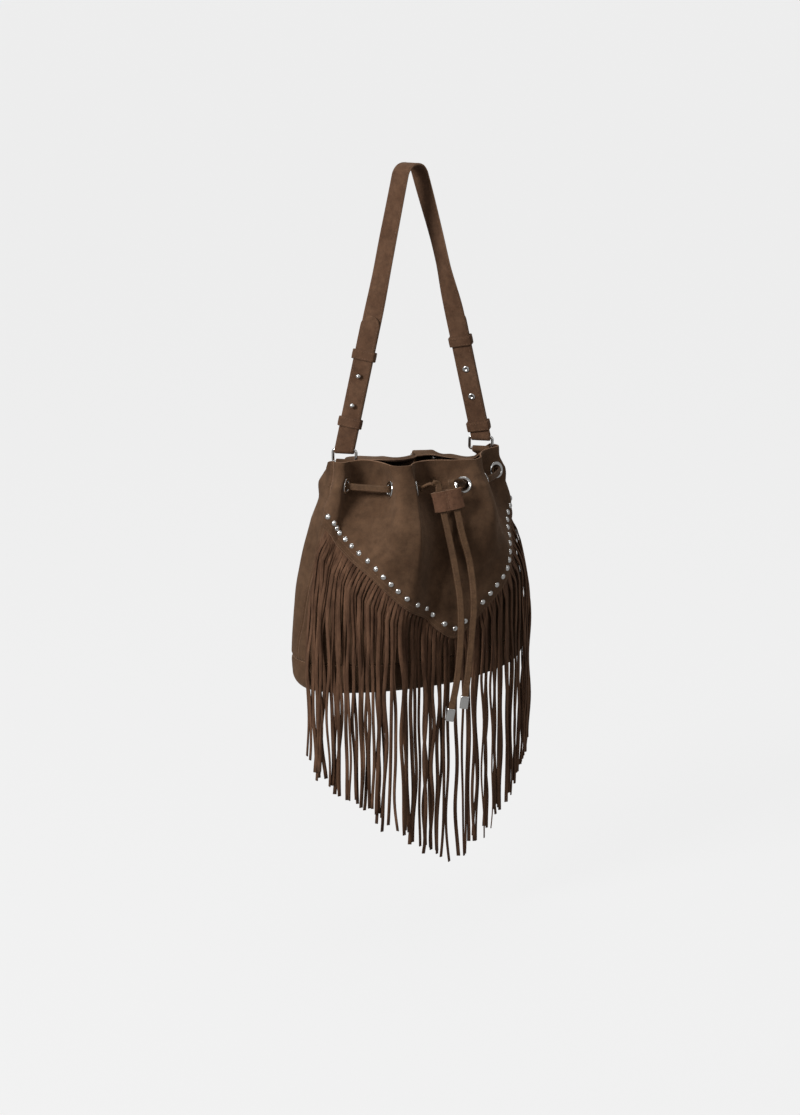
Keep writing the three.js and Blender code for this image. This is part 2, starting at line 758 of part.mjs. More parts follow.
// A keeper: a stitched band round both strap layers
function keeper(side, at) {
  const { middle, width, normal } = legFrame(at);
  const halfWidth = strapWidth / 2 + touchGap;
  const halfDepth = layerPitch / 2 + strapThickness / 2 + touchGap;
  const corner = keeperThickness;
  const sections = [];
  const corners = [[1, 1, 0], [-1, 1, 90], [-1, -1, 180], [1, -1, 270]];
  for (const [sx, sy, start] of corners) {
    for (const step of [0, 45, 90]) {
      const turn = (start + step) * degrees;
      const inner = middle.clone()
        .addScaledVector(width, sx * halfWidth)
        .addScaledVector(normal, sy * halfDepth);
      const outer = inner.clone()
        .addScaledVector(width, corner * Math.cos(turn))
        .addScaledVector(normal, corner * Math.sin(turn));
      const inside = inner.clone()
        .addScaledVector(width, 0.25 * Math.cos(turn))
        .addScaledVector(normal, 0.25 * Math.sin(turn));
      const half = keeperHeight / 2;
      sections.push([
        inside.clone().addScaledVector(legDirection, -half),
        outer.clone().addScaledVector(legDirection, -half),
        outer.clone().addScaledVector(legDirection, half),
        inside.clone().addScaledVector(legDirection, half),
      ].map((p) => turnedHalf(p, side)));
    }
  }
  return closedTube(sections);
}

// Ball stud: its flange lies between the strap's layers and its ball outside the tail
function ballStud() {
  const flangeTop = strapLayerGap / 2 - touchGap;
  const flangeBottom = -strapLayerGap / 2 + touchGap;
  const face = strapLayerGap / 2 + strapThickness;
  const ballMiddle = face + ballNeckHeight + ballRadius * 0.85;
  const points = [[0, flangeBottom], [ballFlangeRadius, flangeBottom], [ballFlangeRadius, flangeTop],
    [ballNeckRadius, flangeTop], [ballNeckRadius, ballMiddle - ballRadius * 0.83]];
  for (const turn of [-30, 0, 30, 60]) {
    points.push([ballRadius * Math.cos(turn * degrees), ballMiddle + ballRadius * Math.sin(turn * degrees)]);
  }
  points.push([0, ballMiddle + ballRadius]);
  const geometry = new THREE.LatheGeometry(points.map(([x, y]) => new THREE.Vector2(x, y)), 9);
  geometry.rotateX(90 * degrees);
  return geometry;
}

// Its screw, from the strap's inner face up to the stud's flange
function studScrew() {
  const innerFace = -strapLayerGap / 2 - strapThickness;
  const head = innerFace - touchGap;
  const tip = -strapLayerGap / 2;
  const points = [[0, head - screwHeadHeight], [screwHeadRadius * 0.8, head - screwHeadHeight],
    [screwHeadRadius, head], [screwShankRadius, head], [screwShankRadius, tip], [0, tip]];
  const geometry = new THREE.LatheGeometry(points.map(([x, y]) => new THREE.Vector2(x, y)), 9);
  geometry.rotateX(90 * degrees);
  return geometry;
}

// Parts of the bag are modelled above the base's underside and lowered as one group
const bagShift = vector(0, 0, -crownToBase);

// Ring tab: a strip folded over the ring's lower bar, both ends sewn inside the wall at the side seam
function ringTab(side) {
  const bar = ringUpperBar('left').sub(bagShift).addScaledVector(up, -ringBarSpacing);
  const radius = (ringWire + tabThickness) / 2 + touchGap;
  const columns = [-1, -0.5, 0, 0.5, 1];
  const wallRow = (height, depth) => columns.map((c) => {
    const around = tabSeamPlace + (c * tabWidth) / 2 / clothAround;
    return wallAt(around, height, -suedeThickness - 3 * touchGap - depth);
  });
  const barRow = (turn) => columns.map((c) => bar.clone()
    .addScaledVector(barAcross, (c * tabWidth) / 2)
    .addScaledVector(legOutward, radius * Math.cos(turn * degrees))
    .addScaledVector(up, radius * Math.sin(turn * degrees)));
  const blendRow = (a, b, t) => a.map((p, i) => p.clone().lerp(b[i], t));
  // The strip meets the bar square to the line from the bar to its seat on the wall
  const seat = wallRow(tabFootHeight + tabPatchHeight, 0)[2].sub(bar);
  const lean = Math.atan2(seat.dot(up), seat.dot(legOutward)) / degrees;
  const wrap = [90, 135, 180, 225, 270].map((turn) => barRow(lean + turn));
  const near = tabThickness / 2;
  const far = near + tabThickness + touchGap;
  const foot = tabFootHeight;
  const patch = tabFootHeight + tabPatchHeight;
  const rows = [
    wallRow(foot, near),
    wallRow(patch, near),
    blendRow(wallRow(patch, near), wrap[0], 0.5),
    ...wrap,
    blendRow(wallRow(patch, far), wrap[4], 0.5),
    wallRow(patch, far),
    wallRow(foot, far),
  ];
  const turnedRows = rows.map((row) => row.map((p) => turnedHalf(p, side)));
  return sheetAbout(turnedRows, tabThickness);
}

// A flat cord from its rows: the middle of each row and its width direction
function flatCord(rows) {
  const grid = rows.map(([middle, across]) => [-1, 1].map(
    (s) => middle.clone().addScaledVector(across, (s * cordWidth) / 2),
  ));
  return sheetAbout(grid, cordThickness);
}

// The drawstring runs along its oval through every eyelet, from one front eyelet round to the next
const cordStart = eyelets[2];
const cordEnd = eyelets[3];

function drawstring() {
  const order = [2, 1, 0, 11, 10, 9, 8, 7, 6, 5, 4, 3].map((i) => eyelets[i]);
  const away = 4.5;
  const points = [cordStart.point];
  order.forEach((eyelet, i) => {
    // The cord comes in from one side of each eyelet and leaves on the other
    const before = i % 2 === 0 ? 1 : -1;
    if (i > 0) {
      points.push(eyelet.point.clone().addScaledVector(eyelet.normal, before * away));
    }
    if (i < order.length - 1) {
      points.push(eyelet.point.clone().addScaledVector(eyelet.normal, -before * away));
    }
  });
  points.push(cordEnd.point);
  const curve = new THREE.CatmullRomCurve3(points);
  const steps = (points.length - 1) * 2;
  const rows = [];
  for (let i = 0; i <= steps; i += 1) {
    const tangent = curve.getTangent(i / steps);
    const across = up.clone().addScaledVector(tangent, -up.dot(tangent)).normalize();
    rows.push([curve.getPoint(i / steps), across]);
  }
  return flatCord(rows);
}

// The slider: a stitched sleeve with two channels for the cord's ends, which slides down along them
const sliderMiddle = vector(sliderCentre.x, sliderCentre.y, sliderCentre.height);
const sliderDown = vector(0.16, -0.15, -0.98).normalize();
const sliderAcross = squareTo(sliderDown, crownAzimuth);

function roundedRectangle(width, depth, radius) {
  const shape = new THREE.Shape();
  const [x, y] = [width / 2, depth / 2];
  shape.moveTo(-x + radius, -y);
  shape.lineTo(x - radius, -y);
  shape.absarc(x - radius, -y + radius, radius, -Math.PI / 2, 0);
  shape.lineTo(x, y - radius);
  shape.absarc(x - radius, y - radius, radius, 0, Math.PI / 2);
  shape.lineTo(-x + radius, y);
  shape.absarc(-x + radius, y - radius, radius, Math.PI / 2, Math.PI);
  shape.lineTo(-x, -y + radius);
  shape.absarc(-x + radius, -y + radius, radius, Math.PI, Math.PI * 1.5);
  return shape;
}

function cordSlider() {
  const outline = roundedRectangle(sliderWidth, sliderDepth, sliderDepth * 0.4);
  const body = new THREE.ExtrudeGeometry(outline, { depth: sliderHeight, bevelEnabled: false, curveSegments: 3 });
  body.translate(0, 0, -sliderHeight / 2);
  const channels = [-1, 1].map((s) => {
    const channel = new THREE.BoxGeometry(cordWidth + 2 * touchGap, cordThickness + 2 * touchGap, sliderHeight * 2);
    return channel.translate((s * sliderChannelPitch) / 2, 0, 0);
  });
  return placed(cut(body, channels), sliderMiddle, sliderDown, sliderAcross);
}

// The free ends: out of an eyelet, down through the slider and hanging in front of the bag.
// Each route ends in the socket of a metal tip.
const cordRoutes = {
  left: [vector(1, -97, 140), vector(5, -103, 100), vector(5, -104, 60), vector(2, -103, 20), vector(-5, -102, -18)],
  right: [vector(18, -98, 140), vector(20, -104, 100), vector(17, -105, 60), vector(13, -106, 25), vector(9, -106, -5)],
};

function cordPath(side) {
  const [eyelet, s] = side === 'left' ? [cordStart, -1] : [cordEnd, 1];
  const channel = sliderMiddle.clone().addScaledVector(sliderAcross, (s * sliderChannelPitch) / 2);
  const out = eyelet.normal.clone();
  const start = eyelet.point.clone().addScaledVector(out, touchGap);
  const near = eyelet.point.clone().addScaledVector(out, 2.6);
  const clear = eyelet.point.clone().addScaledVector(out, 5);
  const above = channel.clone().addScaledVector(sliderDown, -sliderHeight * 0.9);
  const bow = clear.clone().lerp(above, 0.6).addScaledVector(up, 3).addScaledVector(vector(0, -1, 0), 3);
  const straight = [-0.6, 0, 1, 1.7].map((share) => channel.clone().addScaledVector(sliderDown, share * sliderHeight));
  return new THREE.CatmullRomCurve3([start, near, clear, bow, above, ...straight, ...cordRoutes[side]]);
}

function drawstringEnd(side) {
  const curve = cordPath(side);
  const steps = 36;
  const rows = [];
  for (let i = 0; i <= steps; i += 1) {
    const t = i / steps;
    const middle = curve.getPoint(t);
    const tangent = curve.getTangent(t);
    const turn = smooth((t - 0.02) / 0.16);
    const across = up.clone().lerp(sliderAcross, turn);
    across.addScaledVector(tangent, -across.dot(tangent)).normalize();
    rows.push([middle, across]);
  }
  return flatCord(rows);
}

function cordTip(side) {
  const curve = cordPath(side);
  const end = curve.getPoint(1);
  const down = curve.getTangent(1);
  const insert = tipSocketDepth - touchGap;
  const outer = new THREE.ExtrudeGeometry(
    roundedRectangle(tipWidth, tipDepth, 1),
    { depth: tipHeight, bevelEnabled: false, curveSegments: 2 },
  );
  outer.translate(0, 0, -insert);
  const socket = new THREE.BoxGeometry(cordWidth + 2 * touchGap, cordThickness + 2 * touchGap, tipSocketDepth * 2);
  socket.translate(0, 0, -insert);
  return placed(cut(outer, [socket]), end, down, sliderAcross);
}

const material = (colour, roughness, metalness) => new THREE.MeshStandardMaterial({ color: colour, roughness, metalness });
const suede = material(0x5c4434, 0.95, 0);
const suedeDark = material(0x4a3528, 0.95, 0);
const leather = material(0x5e4028, 0.7, 0);
const nickel = material(0xd2d2d0, 0.25, 1);

const bag = new THREE.Group();
bag.position.copy(bagShift);
const model = new THREE.Group();
model.add(bag);

function add(group, name, geometry, look) {
  const mesh = new THREE.Mesh(geometry, look);
  mesh.name = name;
  group.add(mesh);
}

add(bag, 'base_panel', basePanel(), suede);
add(bag, 'back_panel', backPanel(), suede);
add(bag, 'front_panel', frontPanel(), suede);
add(bag, 'front_yoke', frontYoke(), suede);
add(bag, 'fringe_left', fringe(-1), suedeDark);
add(bag, 'fringe_right', fringe(1), suedeDark);
eyelets.forEach(({ point, normal }, i) => {
  const name = i < gathers.length / 2 ? `eyelet_front_${i + 1}` : `eyelet_back_${i + 1 - gathers.length / 2}`;
  add(bag, name, placed(eyeletGeometry(), point, normal), nickel);
});
add(bag, 'ring_tab_left', ringTab('left'), suede);
add(bag, 'ring_tab_right', ringTab('right'), suede);
add(bag, 'drawstring', drawstring(), leather);
add(bag, 'cord_slider', cordSlider(), leather);
for (const side of ['left', 'right']) {
  add(bag, `drawstring_end_${side}`, drawstringEnd(side), leather);
  add(bag, `cord_tip_${side}`, cordTip(side), nickel);
}

add(model, 'shoulder_strap', shoulderStrap(), suede);
for (const side of ['left', 'right']) {
  add(model, `ring_${side}`, ringGeometry(side), nickel);
  for (const [i, place] of [['lower', 1], ['upper', 2]]) {
    const { middle, normal } = legFrame(firstHole + place * strapHolePitch);
    const at = turnedHalf(middle, side);
    const out = turnedHalf(normal, side);
    add(model, `ball_stud_${side}_${i}`, placed(ballStud(), at, out), nickel);
    add(model, `stud_screw_${side}_${i}`, placed(studScrew(), at, out), nickel);
  }
}
for (const [name, { side, at }] of Object.entries(keeperPlaces)) {
  add(model, name, keeper(side, at), suede);
}

export default model;
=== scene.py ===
# The looks of the fringed suede bag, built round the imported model. Sizes are in millimetres and
# become metres where a mesh is made. Heights of bag pieces are measured up from the base's underside.
import math

import bpy
import numpy as np
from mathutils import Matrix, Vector


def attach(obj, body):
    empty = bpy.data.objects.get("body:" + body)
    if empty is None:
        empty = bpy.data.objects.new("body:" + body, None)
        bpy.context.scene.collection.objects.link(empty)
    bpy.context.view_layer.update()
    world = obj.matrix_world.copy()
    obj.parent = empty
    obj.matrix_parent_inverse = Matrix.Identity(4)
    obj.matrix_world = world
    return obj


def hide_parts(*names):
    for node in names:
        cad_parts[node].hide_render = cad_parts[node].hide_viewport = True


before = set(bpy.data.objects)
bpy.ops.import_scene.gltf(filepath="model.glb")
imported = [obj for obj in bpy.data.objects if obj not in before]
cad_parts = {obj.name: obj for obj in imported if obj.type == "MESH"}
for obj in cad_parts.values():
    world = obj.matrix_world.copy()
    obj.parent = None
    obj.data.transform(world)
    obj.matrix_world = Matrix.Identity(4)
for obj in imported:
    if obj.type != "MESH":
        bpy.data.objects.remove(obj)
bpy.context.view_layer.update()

DEG = math.pi / 180
CROWN_TO_BASE = 541.0
UP = np.array([0.0, 0.0, 1.0])
VIEW_AZIMUTH = -25.0


def level(azimuth):
    """A level direction, from its angle in degrees."""
    return np.array([math.cos(azimuth * DEG), math.sin(azimuth * DEG), 0])


VIEW_RIGHT, VIEW_AWAY = level(VIEW_AZIMUTH), level(VIEW_AZIMUTH + 90)


# Camera

camera_data = bpy.data.cameras.new("camera")
camera_data.lens = 80
camera_data.sensor_width = 36
camera = bpy.data.objects.new("camera", camera_data)
camera.location = (-1.0992, -2.3231, 0.202)
camera.rotation_euler = (76.5 * DEG, 0, VIEW_AZIMUTH * DEG)
bpy.context.scene.collection.objects.link(camera)
bpy.context.scene.camera = camera


# Materials

def set_inputs(node, **values):
    """Sets a node's sockets, named with underscores for spaces."""
    for name, value in values.items():
        node.inputs[name.replace("_", " ")].default_value = value


def node_material(name):
    made = bpy.data.materials.new(name)
    made.use_nodes = True
    nodes = made.node_tree.nodes
    return made, nodes, made.node_tree.links, nodes["Principled BSDF"]


def noise(nodes, links, coordinates, scale, detail=3.0, roughness=0.55):
    texture = nodes.new("ShaderNodeTexNoise")
    set_inputs(texture, Scale=scale, Detail=detail, Roughness=roughness)
    links.new(coordinates, texture.inputs["Vector"])
    return texture.outputs["Fac"]


def ramp(nodes, links, factor, stops):
    made = nodes.new("ShaderNodeValToRGB")
    while len(made.color_ramp.elements) < len(stops):
        made.color_ramp.elements.new(0.5)
    for element, (place, colour) in zip(made.color_ramp.elements, stops):
        element.position = place
        element.color = (*colour, 1)
    links.new(factor, made.inputs["Fac"])
    return made.outputs["Color"]


def mixed(nodes, links, kind, amount, a, b):
    made = nodes.new("ShaderNodeMix")
    made.data_type = "RGBA"
    made.blend_type = kind
    made.inputs["Factor"].default_value = amount
    links.new(a, made.inputs["A"])
    links.new(b, made.inputs["B"])
    return made.outputs["Result"]


def add_relief(nodes, links, shader, height, strength, depth):
    relief = nodes.new("ShaderNodeBump")
    set_inputs(relief, Strength=strength, Distance=depth)
    links.new(height, relief.inputs["Height"])
    links.new(relief.outputs["Normal"], shader.inputs["Normal"])


def hide_material(name, dark, light, nap_scale, grain_scale, sheen, bump, roughness=0.9, streaks=(1, 1, 1)):
    """Leather or suede: slow light and dark marks, a fine grain in colour and in relief."""
    made, nodes, links, shader = node_material(name)
    place = nodes.new("ShaderNodeTexCoord").outputs["Object"]
    stretch = nodes.new("ShaderNodeMapping")
    stretch.inputs["Scale"].default_value = streaks
    links.new(place, stretch.inputs["Vector"])
    place = stretch.outputs["Vector"]
    slow = noise(nodes, links, place, nap_scale, 4.0, 0.6)
    colour = ramp(nodes, links, slow, [(0.32, dark), (0.68, light)])
    marks = noise(nodes, links, place, nap_scale * 5.5, 5.0, 0.65)
    stops = [(0.3, (0.66, 0.65, 0.64)), (0.52, (1, 1, 1)), (0.75, (1.25, 1.23, 1.2))]
    shade = ramp(nodes, links, marks, stops)
    colour = mixed(nodes, links, "MULTIPLY", 0.75, colour, shade)
    grain = noise(nodes, links, place, grain_scale, 2.0, 0.6)
    speck = ramp(nodes, links, grain, [(0.3, (0.7, 0.69, 0.68)), (0.7, (1.22, 1.2, 1.18))])
    colour = mixed(nodes, links, "MULTIPLY", 0.55, colour, speck)
    links.new(colour, shader.inputs["Base Color"])
    add_relief(nodes, links, shader, grain, bump, 0.0006)
    set_inputs(shader, Roughness=roughness, Specular_IOR_Level=0.18, Sheen_Weight=sheen,
               Sheen_Roughness=0.45, Sheen_Tint=(0.60, 0.42, 0.29, 1))
    return made


def metal_material(name, colour, roughness, scratches=0.05):
    made, nodes, links, shader = node_material(name)
    place = nodes.new("ShaderNodeTexCoord").outputs["Object"]
    fine = noise(nodes, links, place, 900, 3.0)
    tone = ramp(nodes, links, fine, [(0.3, tuple(0.93 * c for c in colour)), (0.7, colour)])
    links.new(tone, shader.inputs["Base Color"])
    add_relief(nodes, links, shader, fine, scratches, 0.0002)
    set_inputs(shader, Metallic=1, Roughness=roughness)
    return made


suede = hide_material("suede", (0.072, 0.037, 0.019), (0.122, 0.068, 0.038), 24, 1500, 0.2, 0.6)
suede_strap = hide_material("suede_strap", (0.085, 0.042, 0.023), (0.132, 0.071, 0.041), 34, 1500, 0.2, 0.6)
suede_fringe = hide_material(
    "suede_fringe", (0.052, 0.024, 0.013), (0.155, 0.080, 0.046), 120, 1500, 0.16, 0.5, streaks=(1, 1, 0.18))
suede_cut = hide_material("suede_cut", (0.19, 0.105, 0.063), (0.26, 0.155, 0.098), 60, 1800, 0.2, 0.6)
# A darker copy of the suede for the insides of the walls, base, slider and keepers and for the strap hole:
# painted shade.
suede_painted_shade = hide_material("suede_painted_shade", (0.055, 0.030, 0.019), (0.085, 0.048, 0.031), 25, 1300, 0.1, 0.5)
cord_leather = hide_material(
    "cord_leather", (0.082, 0.044, 0.022), (0.125, 0.069, 0.036), 60, 1100, 0.1, 0.35, roughness=0.62)
slider_leather = hide_material(
    "slider_leather", (0.10, 0.048, 0.027), (0.15, 0.074, 0.043), 60, 1200, 0.2, 0.5, roughness=0.85)
thread = hide_material("thread", (0.16, 0.085, 0.05), (0.21, 0.12, 0.075), 80, 2500, 0.0, 0.3, roughness=0.6)
nickel = metal_material("nickel", (0.86, 0.85, 0.83), 0.16)
nickel_satin = metal_material("nickel_satin", (0.74, 0.73, 0.71), 0.3, 0.12)


# Mesh makers

def make(name, points, faces, body, materials, kinds=None, slot=None, replaces=()):
    """An object from points in millimetres in the row frame. kinds gives each face's material."""
    mesh = bpy.data.meshes.new(name)
    mesh.from_pydata((np.asarray(points, float) * 0.001).tolist(), [], faces)
    for item in materials:
        mesh.materials.append(item)
    if kinds is not None:
        mesh.polygons.foreach_set("material_index", np.asarray(kinds, np.int32))
    mesh.polygons.foreach_set("use_smooth", np.full(len(faces), True))
    mesh.validate()
    mesh.update()
    made = bpy.data.objects.new(name, mesh)
    bpy.context.scene.collection.objects.link(made)
    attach(made, body)
    if replaces:
        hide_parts(*replaces)
    return made


class Mesh:
    """Collects points and faces of several parts into one mesh."""

    def __init__(self):
        self.points, self.faces, self.kinds, self.count = [], [], [], 0

    def add(self, points, faces, kind=0):
        points = np.asarray(points, float).reshape(-1, 3)
        self.points.append(points)
        self.faces.extend([tuple(i + self.count for i in face) for face in faces])
        self.kinds.extend([kind] * len(faces) if np.isscalar(kind) else list(kind))
        self.count += len(points)

    def build(self, name, body, materials, **more):
        return make(name, np.concatenate(self.points), self.faces, body, materials, self.kinds, **more)

    def dress(self, node, suffix, body, materials, slot):
        """Builds the piece that is shown for one of the solids."""
        return self.build(node + suffix, body, materials, slot=slot, replaces=[node])


def grid_faces(rows, columns, flip=False, closed=False):
    faces = []
    for r in range(rows - 1):
        for c in range(columns if closed else columns - 1):
            n = (c + 1) % columns
            a, b = r * columns + c, r * columns + n
            d, e = (r + 1) * columns + n, (r + 1) * columns + c
            faces.append((a, e, d, b) if flip else (a, b, d, e))
    return faces


def thick_sheet(outer, inner, hole=None):
    """A sheet from its outer and inner grids (rows, columns, 3), with half-round rims.
    hole marks the cells to leave out. Returns points, faces and face kinds (0 outer, 1 rim, 2 inner)."""
    rows, columns = outer.shape[:2]
    n = rows * columns
    points = [outer.reshape(-1, 3), inner.reshape(-1, 3)]
    hole = np.zeros((rows - 1, columns - 1), bool) if hole is None else hole
    faces, kinds = [], []
    at = lambda r, c: r * columns + c
    for r in range(rows - 1):
        for c in range(columns - 1):
            if not hole[r, c]:
                faces += [(at(r, c), at(r, c + 1), at(r + 1, c + 1), at(r + 1, c)),
                          (n + at(r, c), n + at(r + 1, c), n + at(r + 1, c + 1), n + at(r, c + 1))]
                kinds += [0, 2]
    loop = [(0, c) for c in range(columns - 1)] + [(r, columns - 1) for r in range(rows - 1)]
    loop += [(rows - 1, c) for c in range(columns - 1, 0, -1)] + [(r, 0) for r in range(rows - 1, 0, -1)]
    middle = []
    for r, c in loop:
        edge = (outer[r, c] + inner[r, c]) / 2
        thickness = np.linalg.norm(outer[r, c] - inner[r, c])
        away = np.zeros(3)
        if r in (0, rows - 1):
            away += outer[r, c] - outer[1 if r == 0 else rows - 2, c]
        if c in (0, columns - 1):
            side = outer[r, c] - outer[r, 1 if c == 0 else columns - 2]
            away = away / max(np.linalg.norm(away), 1e-9) + side / max(np.linalg.norm(side), 1e-9)
        middle.append(edge + away / max(np.linalg.norm(away), 1e-9) * thickness * 0.28)
    points.append(np.array(middle))
    for i, (r, c) in enumerate(loop):
        j = (i + 1) % len(loop)
        a, b = at(r, c), at(*loop[j])
        faces += [(b, a, 2 * n + i, 2 * n + j), (2 * n + j, 2 * n + i, n + a, n + b)]
        kinds += [1, 1]
    for r, c in np.argwhere(hole).tolist():
        corners = [(r, c), (r, c + 1), (r + 1, c + 1), (r + 1, c)]
        for k, (r2, c2) in ((0, (r - 1, c)), (2, (r + 1, c)), (3, (r, c - 1)), (1, (r, c + 1))):
            if 0 <= r2 < rows - 1 and 0 <= c2 < columns - 1 and not hole[r2, c2]:
                p, q = at(*corners[k]), at(*corners[(k + 1) % 4])
                faces.append((p, q, n + q, n + p))
                kinds.append(1)
    return np.concatenate(points), faces, kinds


def unit(v):
    v = np.asarray(v, float)
    return v / np.maximum(np.linalg.norm(v, axis=-1, keepdims=True), 1e-12)


def frames_of(normal, across):
    z = unit(normal)
    x = unit(across - (across * z).sum(-1, keepdims=True) * z)
    return x, np.cross(z, x), z


def lathe(profile, segments, closed=False):
    """A turned form about +Z from [radius, height] pairs, bottom to top on the outer side."""
    turn = np.arange(segments) / segments * 2 * math.pi
    rows = [np.stack([r * np.cos(turn), r * np.sin(turn), np.full(segments, h)], -1) for r, h in profile]
    if closed:
        rows.append(rows[0])
    return np.concatenate(rows), grid_faces(len(rows), segments, closed=True)


def put(points, at, axis, across=None):
    """Points made about +Z, moved to a place with their Z axis along axis."""
    axis = unit(axis)
    rough = across if across is not None else (UP if abs(axis[2]) < 0.9 else np.array([1.0, 0, 0]))
    x, y, z = frames_of(axis, np.asarray(rough, float))
    return np.asarray(at) + points[:, :1] * x + points[:, 1:2] * y + points[:, 2:3] * z


def swept(path, section, across, face, capped=True):
    """A section of [across, face] pairs carried along a path, closed by its ends or by caps."""
    n, k = len(path), len(section)
    points = path[:, None] + section[None, :, :1] * across[:, None] + section[None, :, 1:] * face[:, None]
    faces, last = grid_faces(n, k, closed=True), (n - 1) * k
    if capped:
        faces += [tuple(range(k - 1, -1, -1)), tuple(last + i for i in range(k))]
    else:
        faces += [(last + i, last + (i + 1) % k, (i + 1) % k, i) for i in range(k)]
    return points.reshape(-1, 3), faces


STITCH_SHARES = ((-0.5, 0.35), (-0.3, 1.0), (0.3, 1.0), (0.5, 0.35))


def stitches(mesh, path, normals, length=2.4, gap=1.1, radius=0.27, kind=0, sink=0.1):
    """Short rounded threads along a path that lies on a surface."""
    path, normals = np.asarray(path, float), np.asarray(normals, float)
    run = np.concatenate([[0], np.cumsum(np.linalg.norm(np.diff(path, axis=0), axis=1))])
    count = int(run[-1] // (length + gap))
    if count < 1:
        return
    middles = (np.arange(count) + 0.5) * run[-1] / count
    sample = lambda values, places: np.stack([np.interp(places, run, values[:, i]) for i in range(3)], -1)
    middle = sample(path, middles)
    along = unit(sample(path, middles + 0.5) - sample(path, middles - 0.5))
    normal = unit(sample(normals, middles))
    side = unit(np.cross(normal, along))
    turn = np.arange(6) / 6 * 2 * math.pi
    for m, t, n, s in zip(middle, along, normal, side):
        rows = []
        for share, width in STITCH_SHARES:
            centre = m + t * share * length + n * (radius * (0.9 - 1.6 * share * share) - sink)
            round_it = np.cos(turn)[:, None] * s + 0.8 * np.sin(turn)[:, None] * n
            rows.append(centre + radius * width * round_it)
        points = np.concatenate(rows)
        faces = grid_faces(4, 6, closed=True) + [tuple(range(5, -1, -1)), tuple(range(18, 24))]
        mesh.add(points, faces, kind)


# The wall: the same surface as the solids', from the same sizes

SECTIONS = np.array([
    [0, 143, 73], [34, 143, 76], [80, 138, 87], [125, 128, 95], [178, 111, 97], [216, 93, 71],
    [241, 92, 61]], float)
GATHERS = np.array([
    [-180, 14, 90], [-161, 0, 0], [-143, -15, 120], [-126, 0, 0], [-117, 20, 150], [-108, 0, 0],
    [-92, -24, 190], [-75, 0, 0], [-64, 18, 150], [-53, 0, 0], [-34, -15, 120], [-11, 0, 0]], float)
BAG_HEIGHT, EYELET_HEIGHT, BASE_SEAM, BASE_RADIUS = 241.0, 216.0, 34.0, 18.0
CLOTH_AROUND, SUEDE, GAP = 690.0, 1.6, 0.3
RIM_FOLD_SHARE, BODY_TWIST = 0.5, 7.0
YOKE_TIP, YOKE_CORNER, YOKE_ROUND, YOKE_BOW, YOKE_LAP, YOKE_EASE = 56.0, 178.0, 0.02, 0.74, 13.0, 24.0
FRINGE_THICKNESS = 1.5


def smooth(t):
    t = np.clip(t, 0, 1)
    return t * t * (3 - 2 * t)


def catmull(a, b, c, d, t):
    bend, swing = 2 * a - 5 * b + 4 * c - d, 3 * b - a - 3 * c + d
    return 0.5 * (2 * b + (c - a) * t + bend * t * t + swing * t ** 3)


def half_size(height, column):
    last = len(SECTIONS) - 1
    i = np.searchsorted(SECTIONS[1:last, 0], height, side="left")
    value = lambda n: SECTIONS[np.clip(n, 0, last), column]
    t = np.clip((height - SECTIONS[i, 0]) / (SECTIONS[i + 1, 0] - SECTIONS[i, 0]), 0, 1)
    return catmull(value(i - 1), value(i), value(i + 1), value(i + 2), t)


def wall_station(index, height):
    station = np.mod(index, 24).astype(int)
    half = np.where(station >= 12, -1.0, 1.0)
    place = station % 12
    angle, fold, reach = GATHERS[place, 0], GATHERS[place, 1], GATHERS[place, 2]
    gathering = smooth((height - BASE_SEAM) / (EYELET_HEIGHT - BASE_SEAM))
    even = -180 + 15.0 * place
    turn = (even + (angle - even) * gathering) * DEG
    a, b = half_size(height, 1), half_size(height, 2)
    nx, ny = np.cos(turn) / a, np.sin(turn) / b
    size = np.hypot(nx, ny)
    low = np.where(reach > 0, np.clip(1 - (EYELET_HEIGHT - height) / np.maximum(reach, 1e-6), 0, 1) ** 1.6, 0)
    high = 1 + (RIM_FOLD_SHARE - 1) * (height - EYELET_HEIGHT) / (BAG_HEIGHT - EYELET_HEIGHT)
    share = fold * np.where(height > EYELET_HEIGHT, high, low)
    x, y = a * np.cos(turn) + nx / size * share, b * np.sin(turn) + ny / size * share
    x, y = x * half, y * half
    twist = BODY_TWIST * (1 - smooth(height / BAG_HEIGHT)) * DEG
    return x * np.cos(twist) - y * np.sin(twist), x * np.sin(twist) + y * np.cos(twist)


def gathered_solid(around, height):
    place = np.mod(around, 1) * 24
    first = np.floor(place)
    corners = [wall_station(first + step, height) for step in (-1, 0, 1, 2)]
    t = place - first
    x = catmull(*[c[0] for c in corners], t)
    y = catmull(*[c[1] for c in corners], t)
    return np.stack([x, y, height], -1)


# The gathers at the eyelets' height as the hide really folds: place around the front half, then
# millimetres to the right and away as seen by the camera. The eyelets' own places are the solids'.
# The back half is the front half turned by 180 degrees.
PLEATS = np.array([
    [0.000, -89.5, -58], [0.015, -82, -70], [0.028, -73.5, -69], [0.0417, -69.7, -58.3], [0.055, -65, -48],
    [0.0833, -51, -43], [0.111, -33, -58], [0.125, -25.0, -75.2], [0.140, -20, -89], [0.1667, -9, -95],
    [0.193, 3, -88], [0.2083, 2.7, -73.3], [0.222, 3, -59], [0.236, 9, -47], [0.250, 18, -43],
    [0.264, 27, -46], [0.278, 38, -51], [0.2917, 51, -51.8], [0.3055, 63, -53], [0.330, 76, -50],
    [0.348, 79, -40], [0.375, 74.8, -27.4], [0.392, 70, -10], [0.4167, 68, 9],
    [0.440, 77, 19], [0.4583, 88.3, 26.6], [0.472, 95, 34], [0.486, 95, 47]], float)
FOLD_REACH = 165.0


